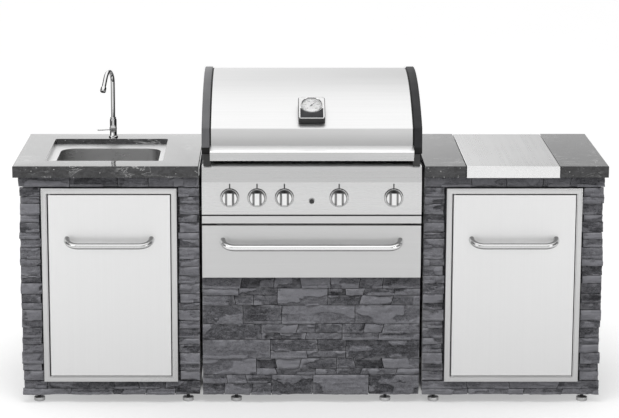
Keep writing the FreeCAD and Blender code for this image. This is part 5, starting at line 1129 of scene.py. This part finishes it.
def knobMesh(name, x):
    # height over the knob's disc: a turned base, and a grip that stands up where |across| is small:
    # base + (crown - base) / (1 + e to the steepness times (outside - 1))
    angle = np.linspace(0, 2 * math.pi, 120, endpoint=False)[None]
    share = np.concatenate([[0.0], np.linspace(0.06, 0.90, 26), [0.935, 0.965, 0.985, 1.0]])[:, None]
    r = share * knobs["radius"]
    across, along = r * np.cos(angle), r * np.sin(angle)
    fall = np.clip((share - 0.82) / 0.18, 0, 1) ** 2.2
    base = knobs["base"] - knobs["baseFall"] * fall * np.ones_like(angle)
    outside = np.maximum(np.abs(across) / knobs["gripHalf"], (np.abs(along) / knobs["gripLength"]) ** 3)
    wall = 1 / (1 + np.exp((outside - 1) * knobs["steep"]))
    crown = knobs["depth"] - knobs["gripFall"] * (np.abs(across) / knobs["gripHalf"]) ** 2
    high = base + (crown - base) * wall
    points = np.stack([across + x, knobs["back"] - high, along + knobs["height"]], -1)
    rings = [points[-1] + (0, step, 0) for step in knobs["rim"]]
    under = points[-1] * (1, 0, 1) + (0, knobs["back"], 0)
    return makeMesh(name, [ringSkin(np.concatenate([points, rings, under[None]]))], knobs["sharp"])


onPanel = (0, face, 0)
knobXs = [step * knobs["pitch"] for step in knobs["steps"]]
for number, x in enumerate(knobXs, 1):
    addPiece(f"knob{number}", knobMesh(f"knob{number}", x), f"knob_{number}", "chrome",
             (f"burner_knob_{number}",), "knobChrome")
bezels = [plate(circlePoints(knobs["bezel"], 96, (x, knobs["height"])), inMillimetres(knobs["bezelSection"]),
                facings["front"], onPanel) for x in knobXs]
bezels.append(plate(circlePoints(igniter["ring"], 64, (0, igniter["height"])),
                    inMillimetres(igniter["ringSection"]), facings["front"], onPanel, loop=True))
addPiece("bezels", bezels, "island", "chrome", ("panel_bezels",), "bezelChrome")
knobMarks = [plate(rectanglePoints(*knobs["mark"], 0, (x, knobs["height"] + knobs["markUp"])), ink,
                   facings["front"], onPanel) for x in knobXs]
addPiece("knobMarks", knobMarks, "island", "black_plastic", finish="darkInk")
button = turned(inMillimetres(igniter["button"]), facings["front"], (0, face, igniter["height"]))
addPiece("igniter", [button], "igniter", "black_plastic", ("igniter_button",))
print("panel and knobs built")


# Thermometer on the hood: rounded housing, dial, pointer, ring and glass

gauge = {
    "up": 0.087,               # distance up the skin's arc from the crease
    "tilt": math.radians(4.5),       # between the skin and the plate
    "width": 0.102,
    "length": 0.122,
    "thick": 0.028,            # under the plate's middle
    "round": 0.010,
    "dial": 0.039,             # radius of the dial's seat
    "dialUp": 0.016,
    "seat": -0.005,            # heights over the plate
    "border": -0.003,          # underside of the bright plate on the black case
    "dialTop": -0.004,
    "lift": 0.0003,
    "steps": 128,
    "plateSection": [(0.0014, -0.003), (0.0014, -0.0016), (0.0019, -0.0006), (0.0028, 0)],
    # the bare plate below the dial: half its width, its foot and head, and the arc that clears the ring
    "bare": (0.0435, -0.0570, -0.0040),
    "bareArc": (0.0436, -28, -152, 40),
    "bareSection": [(0, -0.0010), (0, 0.0002), (0.0003, 0.0004)],
    "ring": 0.0418,
    "ringSection": [(0, 0), (0.2, 1.6), (0.9, 2.7), (2.0, 3.0), (3.2, 2.6), (4.0, 1.5), (5.9, 0.2), (5.9, 0)],
    "disc": 0.0385,
    "pane": [(0, -0.0014), (0.0384, -0.0014), (0.0384, -0.0001), (0, 0)],
}
scale = {
    "start": 225,              # degrees of its first tick
    "sweep": 270,
    "ticks": 40,
    "numbers": 5,              # steps of 100 from 0
    "outer": 0.0345,
    "long": (0.0290, 0.00055),       # inner end and half width of every fourth tick
    "short": (0.0315, 0.00028),
    "numberRadius": 0.0238,
    "numberSize": 0.0062,
    "numberDepth": 0.00008,    # half the letters' thickness
    "numberLift": 0.00009,     # of their middle over the dial
    "needle": math.radians(48),
    "needleEnds": (-0.010, 0.030),
    "needleHalves": (0.0016, 0.0004),
    "needleHeights": (0.0004, 0.0009),
    "boss": [(0, 0), (0.0035, 0), (0.0033, 0.0011), (0, 0.0012)],
    "ink": (-0.0001, 0.0002),
}
skinAngle = chordAngle + bulge - gauge["up"] / hood["radius"]
plateAngle = skinAngle + gauge["tilt"]
gaugeFacing = np.array([[1, 0, 0], [0, math.cos(plateAngle), math.sin(plateAngle)],
                        [0, -math.sin(plateAngle), math.cos(plateAngle)]])
reach = hood["radius"] + gauge["lift"] + gauge["thick"]
gaugePlace = np.append(0, hoodCentre + reach * np.array([-math.sin(skinAngle), math.cos(skinAngle)]))
onDial = gaugePlace + gauge["dialUp"] * gaugeFacing[1]


def roundRing(far, turns, height):
    # a ring of points at the given distances and turns from the dial's middle
    return np.stack([far * np.cos(turns), far * np.sin(turns), np.full(len(turns), height)], 1)


equalTurns = np.linspace(-math.pi, math.pi, gauge["steps"], endpoint=False)


def dialRing(height):
    # the dial's own edge at a height over the plate
    return roundRing(gauge["dial"], equalTurns, height)


def caseRing(inset, height):
    # the case's rounded outline seen from the dial's middle, in equal turns, at a height over the plate
    outline = rectanglePoints(gauge["width"] - 2 * inset, gauge["length"] - 2 * inset, gauge["round"] - inset,
                              (0, -gauge["dialUp"]), 12)
    following = np.roll(outline, -1, 0)
    outline = np.concatenate([outline + (following - outline) * share
                              for share in np.linspace(0, 1, 40, endpoint=False)])
    turns = np.arctan2(outline[:, 1], outline[:, 0])
    order = np.argsort(turns)
    far = np.interp(equalTurns, turns[order], np.hypot(*outline[order].T), period=2 * math.pi)
    return roundRing(far, equalTurns, height)


def onGauge(points, faces):
    # a shell in the dial's own directions, put in its place
    return points @ gaugeFacing + onDial, faces


def dialPiece(name, profile, slot, node):
    # a round piece about the dial's axis
    addPiece(name, [turned(profile, gaugeFacing, onDial, 96)], "hood", slot, (node,))


# the case's underside lies along the skin, so it is deeper at one end than at the other
under = caseRing(0, 0)
slope = (under[:, 1] + gauge["dialUp"]) * math.tan(gauge["tilt"])
under[:, 2] = -gauge["thick"] / math.cos(gauge["tilt"]) - slope
seat, border = gauge["seat"], gauge["border"]
case = onGauge(*ringSkin(np.stack([under, caseRing(0, border), dialRing(border), dialRing(seat)])))
plateRings = [dialRing(border), *[caseRing(*pair) for pair in gauge["plateSection"]], dialRing(0)]
addPiece("gaugeHousing", [case], "hood", "black_plastic", ("gauge_housing",))
addPiece("gaugePlate", [onGauge(*ringSkin(np.stack(plateRings), loop=True))], "hood", "chrome",
         finish="plateChrome")
wide, foot, head = gauge["bare"]
bare = np.concatenate([[(-wide, foot), (wide, foot), (wide, head)],
                       arcPoints((0, gauge["dialUp"]), *gauge["bareArc"]), [(-wide, head)]])
addPiece("gaugeLabel", [plate(bare, gauge["bareSection"], gaugeFacing, gaugePlace)], "hood", "black_plastic",
         finish="nameplate")
disc, dialTop = gauge["disc"], gauge["dialTop"]
dialPiece("dial", [(0, seat), (disc, seat), (disc, dialTop), (0, dialTop)], "dial", "gauge_dial")
dialRim = plate(circlePoints(gauge["ring"], 96), inMillimetres(gauge["ringSection"]), gaugeFacing, onDial,
                loop=True)
addPiece("dialRing", [dialRim], "hood", "chrome", ("gauge_bezel",), "ringChrome")
dialPiece("dialGlass", gauge["pane"], "glass", "gauge_glass")


def scaleWay(step, steps):
    # direction from the dial's middle to a step of the scale
    angle = math.radians(scale["start"] - scale["sweep"] * step / steps)
    return np.array([math.cos(angle), math.sin(angle)])


def stripe(ahead, ends, halves, heights):
    # a thin bar along a direction, from one end and half width to the other
    across = np.array([-ahead[1], ahead[0]])
    sides = [[ahead * end + across * (side * half) for end, half in zip(ends, halves)] for side in (-1, 1)]
    section = [(0, dialTop + height) for height in heights]
    return plate(np.array(sides[0] + sides[1][::-1]), section, gaugeFacing, onDial)


def letterShell(text, spot):
    # the filled outline of a short text, as a thin plate on the dial
    curve = bpy.data.curves.new(text, "FONT")
    curve.body = text
    curve.size = scale["numberSize"]
    curve.align_x = "CENTER"
    curve.align_y = "CENTER"
    curve.extrude = scale["numberDepth"]
    holder = bpy.data.objects.new(text, curve)
    bpy.context.scene.collection.objects.link(holder)
    letters = bpy.data.meshes.new_from_object(holder.evaluated_get(bpy.context.evaluated_depsgraph_get()))
    spots = np.empty(len(letters.vertices) * 3)
    letters.vertices.foreach_get("co", spots)
    spots = spots.reshape(-1, 3) + (spot[0], spot[1], dialTop + scale["numberLift"])
    faces = [list(face.vertices) for face in letters.polygons]
    bpy.data.objects.remove(holder)
    bpy.data.curves.remove(curve)
    bpy.data.meshes.remove(letters)
    return onGauge(spots, faces)


marks = []
for step in range(scale["ticks"] + 1):
    inner, halfWidth = scale["short" if step % 4 else "long"]
    ends = (inner, scale["outer"])
    marks.append(stripe(scaleWay(step, scale["ticks"]), ends, (halfWidth, halfWidth), scale["ink"]))
needleWay = np.array([math.cos(scale["needle"]), math.sin(scale["needle"])])
marks.append(stripe(needleWay, scale["needleEnds"], scale["needleHalves"], scale["needleHeights"]))
marks.append(turned(np.array(scale["boss"]) + (0, dialTop), gaugeFacing, onDial, 32))
for step in range(scale["numbers"] + 1):
    marks.append(letterShell(str(step * 100), scaleWay(step, scale["numbers"]) * scale["numberRadius"]))
addPiece("dialMarks", marks, "hood", "dial", finish="darkInk")
print("thermometer built")


# Bar handles: a tube bent back at both ends, drooping a little

bar = {
    "reach": 0.050,
    "droop": math.radians(17),
    "bend": 0.048,
    "around": 40,
}
bars = {
    # node: (piece, face, height, length, diameter, body, finish)
    "left_door_handle": ("leftBar", frontY + 0.008, 0.655, 0.344, 0.023, "left_door", "bar_steel"),
    "right_door_handle": ("rightBar", frontY + 0.008, 0.655, 0.344, 0.023, "right_door", "bar_steel"),
    "drawer_handle": ("drawerBar", frontY + 0.004, 0.650, 0.698, 0.025, "drawer", "drawerBarSteel"),
}

for node, (name, face, height, length, diameter, body, finish) in bars.items():
    middle = 0.0 if body == "drawer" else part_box(node)[0].x + length / 2
    way = np.array([0, math.cos(bar["droop"]), math.sin(bar["droop"])])
    reach = bar["reach"] / way[1]
    end = (length - diameter) / 2
    bend = arcPoints((end - bar["bend"], bar["bend"] - reach), bar["bend"], -90, 0, 18)
    corner = np.concatenate([[(end, 0.0)], bend[::-1]])
    corner = np.concatenate([corner * (-1, 1), corner[::-1]])
    # the flat path (a, b) leans by the droop: b = -reach lies forward and down
    path = np.stack([middle + corner[:, 0], face + corner[:, 1] * way[1], height + corner[:, 1] * way[2]], 1)
    rings = tubeRings(path, diameter / 2, (0, -way[2], way[1]), bar["around"])
    for index in (0, -1):
        rings[index] = rings[index] - way * ((rings[index][:, 1] - face) / way[1])[:, None]
    addPiece(name, [ringSkin(rings)], body, "bar_steel", (node,), finish)
print("handles built")


# Door frames: a mitred moulding round each doorway

door = {
    "width": 0.514,
    "height": 0.760,
    "base": 0.092,
    "face": frontY + 0.008,
    "section": [(0, -36), (0, -2.0), (0.5, -1.5), (1.8, -1.1), (9.0, -0.4), (16.0, 0), (17.5, -0.5),
                (18.0, -1.8), (18.0, -4), (21, -4), (21, -42), (18, -42), (18, -36)],
}
for hand in ("left", "right"):
    node = hand + "_door_frame"
    middle = (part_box(node)[0].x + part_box(node)[1].x) / 2
    outline = rectanglePoints(door["width"], door["height"], 0, (middle, door["base"] + door["height"] / 2))
    moulding = plate(outline, inMillimetres(door["section"]), facings["front"], (0, door["face"], 0),
                     loop=True)
    addPiece(hand + "DoorFrame", [moulding], "island", "door_frame_steel", (node,))
print("door frames built")


# Tap: body, arched spout and lever

tap = {
    "x": (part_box("tap_body")[0].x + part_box("tap_body")[1].x) / 2,
    "y": frontY + 0.592,
    "turn": 13.6,              # degrees that the spout turns to the left
    "tube": 0.0085,
    "foot": (0.0743, 0.12, 0.18),    # heights of the path's points below the arch
    "arch": 0.052,
    "bend": 142,               # degrees that the arch turns through
    "top": 0.282,
    "run": 0.042,              # straight run from the arch to the aerator
    "runShares": (0.3, 0.7, 1.05),
    "nut": 0.019,
    "nutSection": [(0, -0.032), (0, -0.020)],
    "leverHeight": 0.036,
    "leverOut": 0.019,         # from the tap's middle to the hub's face
    # the lever's rod: distance from the middle and radius at each point
    "rod": [(0, 3.0), (10, 3.0), (30, 3.2), (56, 3.8), (60.2, 3.4), (62, 1.8)],
    "rodOut": 0.0053,
    "rodFall": 0.05,
    # sections in millimetres: radius and height
    "body": [(0, -77), (10.2, -77), (10.5, -76.7), (10.5, -52), (11.8, -52), (12, -51), (12, 0), (18.5, 0),
             (18.5, 3.0), (18.0, 4.2), (16.4, 5.6), (14.6, 6.6), (14, 8.0), (14, 70), (13.6, 72.4),
             (12.8, 73.6), (11.4, 74), (0, 74)],
    "hub": [(0, -13), (15, -13), (15, -0.8), (14.5, 0), (0, 0)],
    "collar": [(0, 74.3), (12, 74.3), (12, 80.5), (11.4, 82), (10, 82.3), (0, 82.3)],
    "aerator": [(0, -1.5), (9.3, -1.5), (11.0, -0.6), (11.5, 0.6), (11.5, 17.4), (11.0, 18.6), (9.6, 19),
                (9.2, 18.6), (9.2, 9), (0, 9)],
    "cap": [(0, 0.3), (13, 0.3), (13, 9.0), (12.2, 10.0), (10.5, 10.3), (0, 10.3)],
}
foot = np.array([tap["x"], tap["y"], topZ])
hubPlace = foot + (0, -tap["leverOut"], tap["leverHeight"])
body = turned(inMillimetres(tap["body"]), facings["top"], foot, 72)
hub = turned(inMillimetres(tap["hub"]), facings["front"], hubPlace)
nut = plate(circlePoints(tap["nut"], 6, foot[:2]), tap["nutSection"], facings["top"], (0, 0, topZ))
addPiece("tapBody", [body, hub, nut], "island", "chrome", ("tap_body",), "tapChrome")

# the spout is drawn in its own plane: outwards and up
turn = math.radians(-90 - tap["turn"])
plane = np.array([[math.cos(turn), math.sin(turn), 0], [0, 0, 1]])
spoutSide = np.cross(plane[0], plane[1])
rise = tap["top"] - tap["tube"] - tap["arch"]
arch = arcPoints((tap["arch"], rise), tap["arch"], 180, 180 - tap["bend"], 48)
endAngle = math.radians(180 - tap["bend"])
down = np.array([math.sin(endAngle), -math.cos(endAngle)])
swan = np.concatenate([[(0, height) for height in tap["foot"]], arch,
                       [arch[-1] + down * tap["run"] * share for share in tap["runShares"]]])
swanTube = ringSkin(tubeRings(swan @ plane + foot, tap["tube"], spoutSide, 48))
collar = turned(inMillimetres(tap["collar"]), facings["top"], foot)
ahead = down @ plane
mouthFacing = np.stack([spoutSide, np.cross(ahead, spoutSide), ahead])
aerator = turned(inMillimetres(tap["aerator"]), mouthFacing, (arch[-1] + down * tap["run"]) @ plane + foot)
addPiece("spout", [swanTube, collar, aerator], "spout", "chrome", ("tap_spout",), "tapChrome")

cap = turned(inMillimetres(tap["cap"]), facings["front"], hubPlace)
rodAlong, rodRadii = inMillimetres(tap["rod"]).T
rodPath = np.stack([tap["x"] - rodAlong, np.full(len(rodAlong), hubPlace[1] - tap["rodOut"]),
                    hubPlace[2] - tap["rodFall"] * rodAlong], 1)
rod = ringSkin(tubeRings(rodPath, rodRadii, (0, 0, 1)))
addPiece("tapLever", [cap, rod], "lever", "chrome", ("tap_lever",), "tapChrome")
print("tap built")


# Steel and granite that keep their CAD form, with softened edges

edges = {
    # node: (finish, width of the softened edge)
    "drawer_front": ("drawerSteel", 0.0006),
    "drip_tray": ("traySteel", 0.0006),
    "left_door_panel": ("doorSteel", 0.0006),
    "right_door_panel": ("doorSteel", 0.0006),
    "side_burner_lid": ("lidSteel", 0.0006),
    # painted shade: the steel firebox takes the black powder coat, for its deck in the hood's shadow
    "firebox": ("frame_paint", 0.0006),
    "left_countertop": (None, 0.0016),
    "right_countertops": (None, 0.0016),
    "sink_bowl": ("bowlSteel", 0.0006),
    "sink_drain": ("bowlSteel", 0.0003),
}
for node, (finish, width) in edges.items():
    dress(node, finish, width)


# Levelling feet: cast pads under stems with their nuts, where the CAD's feet stand

feet = {
    "floor": 0.001,            # the CAD's points below this height are its pads'
    "apart": 0.06,             # points nearer than this are of one pad
    "pad": [(0, 0), (0.0185, 0), (0.0207, 0.0012), (0.0215, 0.0034), (0.0215, 0.0130), (0.0209, 0.0150),
            (0.0190, 0.0160), (0.0065, 0.0160), (0, 0.0160)],
    "stem": 0.006,
    "stemFrom": 0.0158,
    "nut": 0.011,
    "nutSection": [(0.0008, -0.009), (0, -0.0083), (0, 0)],
}
mesh = frame["nodes"]["levelling_feet"].data
spots = np.empty(len(mesh.vertices) * 3)
mesh.vertices.foreach_get("co", spots)
spots = spots.reshape(-1, 3)
pads = spots[spots[:, 2] < feet["floor"]][:, :2]
centres = []
for spot in pads:
    if not any(np.hypot(*(spot - centre)) < feet["apart"] for centre in centres):
        near = pads[np.hypot(*(pads - spot).T) < feet["apart"]]
        centres.append((near.min(0) + near.max(0)) / 2)
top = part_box("levelling_feet")[1].z
stem = [(0, feet["stemFrom"]), (feet["stem"], feet["stemFrom"]), (feet["stem"], top), (0, top)]
padShells = [turned(feet["pad"], facings["top"], (*centre, 0), 48) for centre in centres]
stemShells = [turned(stem, facings["top"], (*centre, 0), 24) for centre in centres]
stemShells += [plate(circlePoints(feet["nut"], 6, centre), feet["nutSection"], facings["top"], (0, 0, top))
               for centre in centres]
addPiece("footPads", padShells, "island", slotOf["levelling_feet"], ("levelling_feet",), "footSteel")
addPiece("footStems", stemShells, "island", slotOf["levelling_feet"], finish="frame_paint")
print("feet built")


# The grates, and every other piece in its CAD form

for node in ("cooking_grates", "side_burner_grate"):
    dress(node, bevel=0.0016)
for node in sorted(set(frame["nodes"]) - done):
    dress(node)
print("every other piece dressed:", len(done), "of", len(frame["nodes"]))


bpy.context.scene.view_settings.view_transform = "Standard"
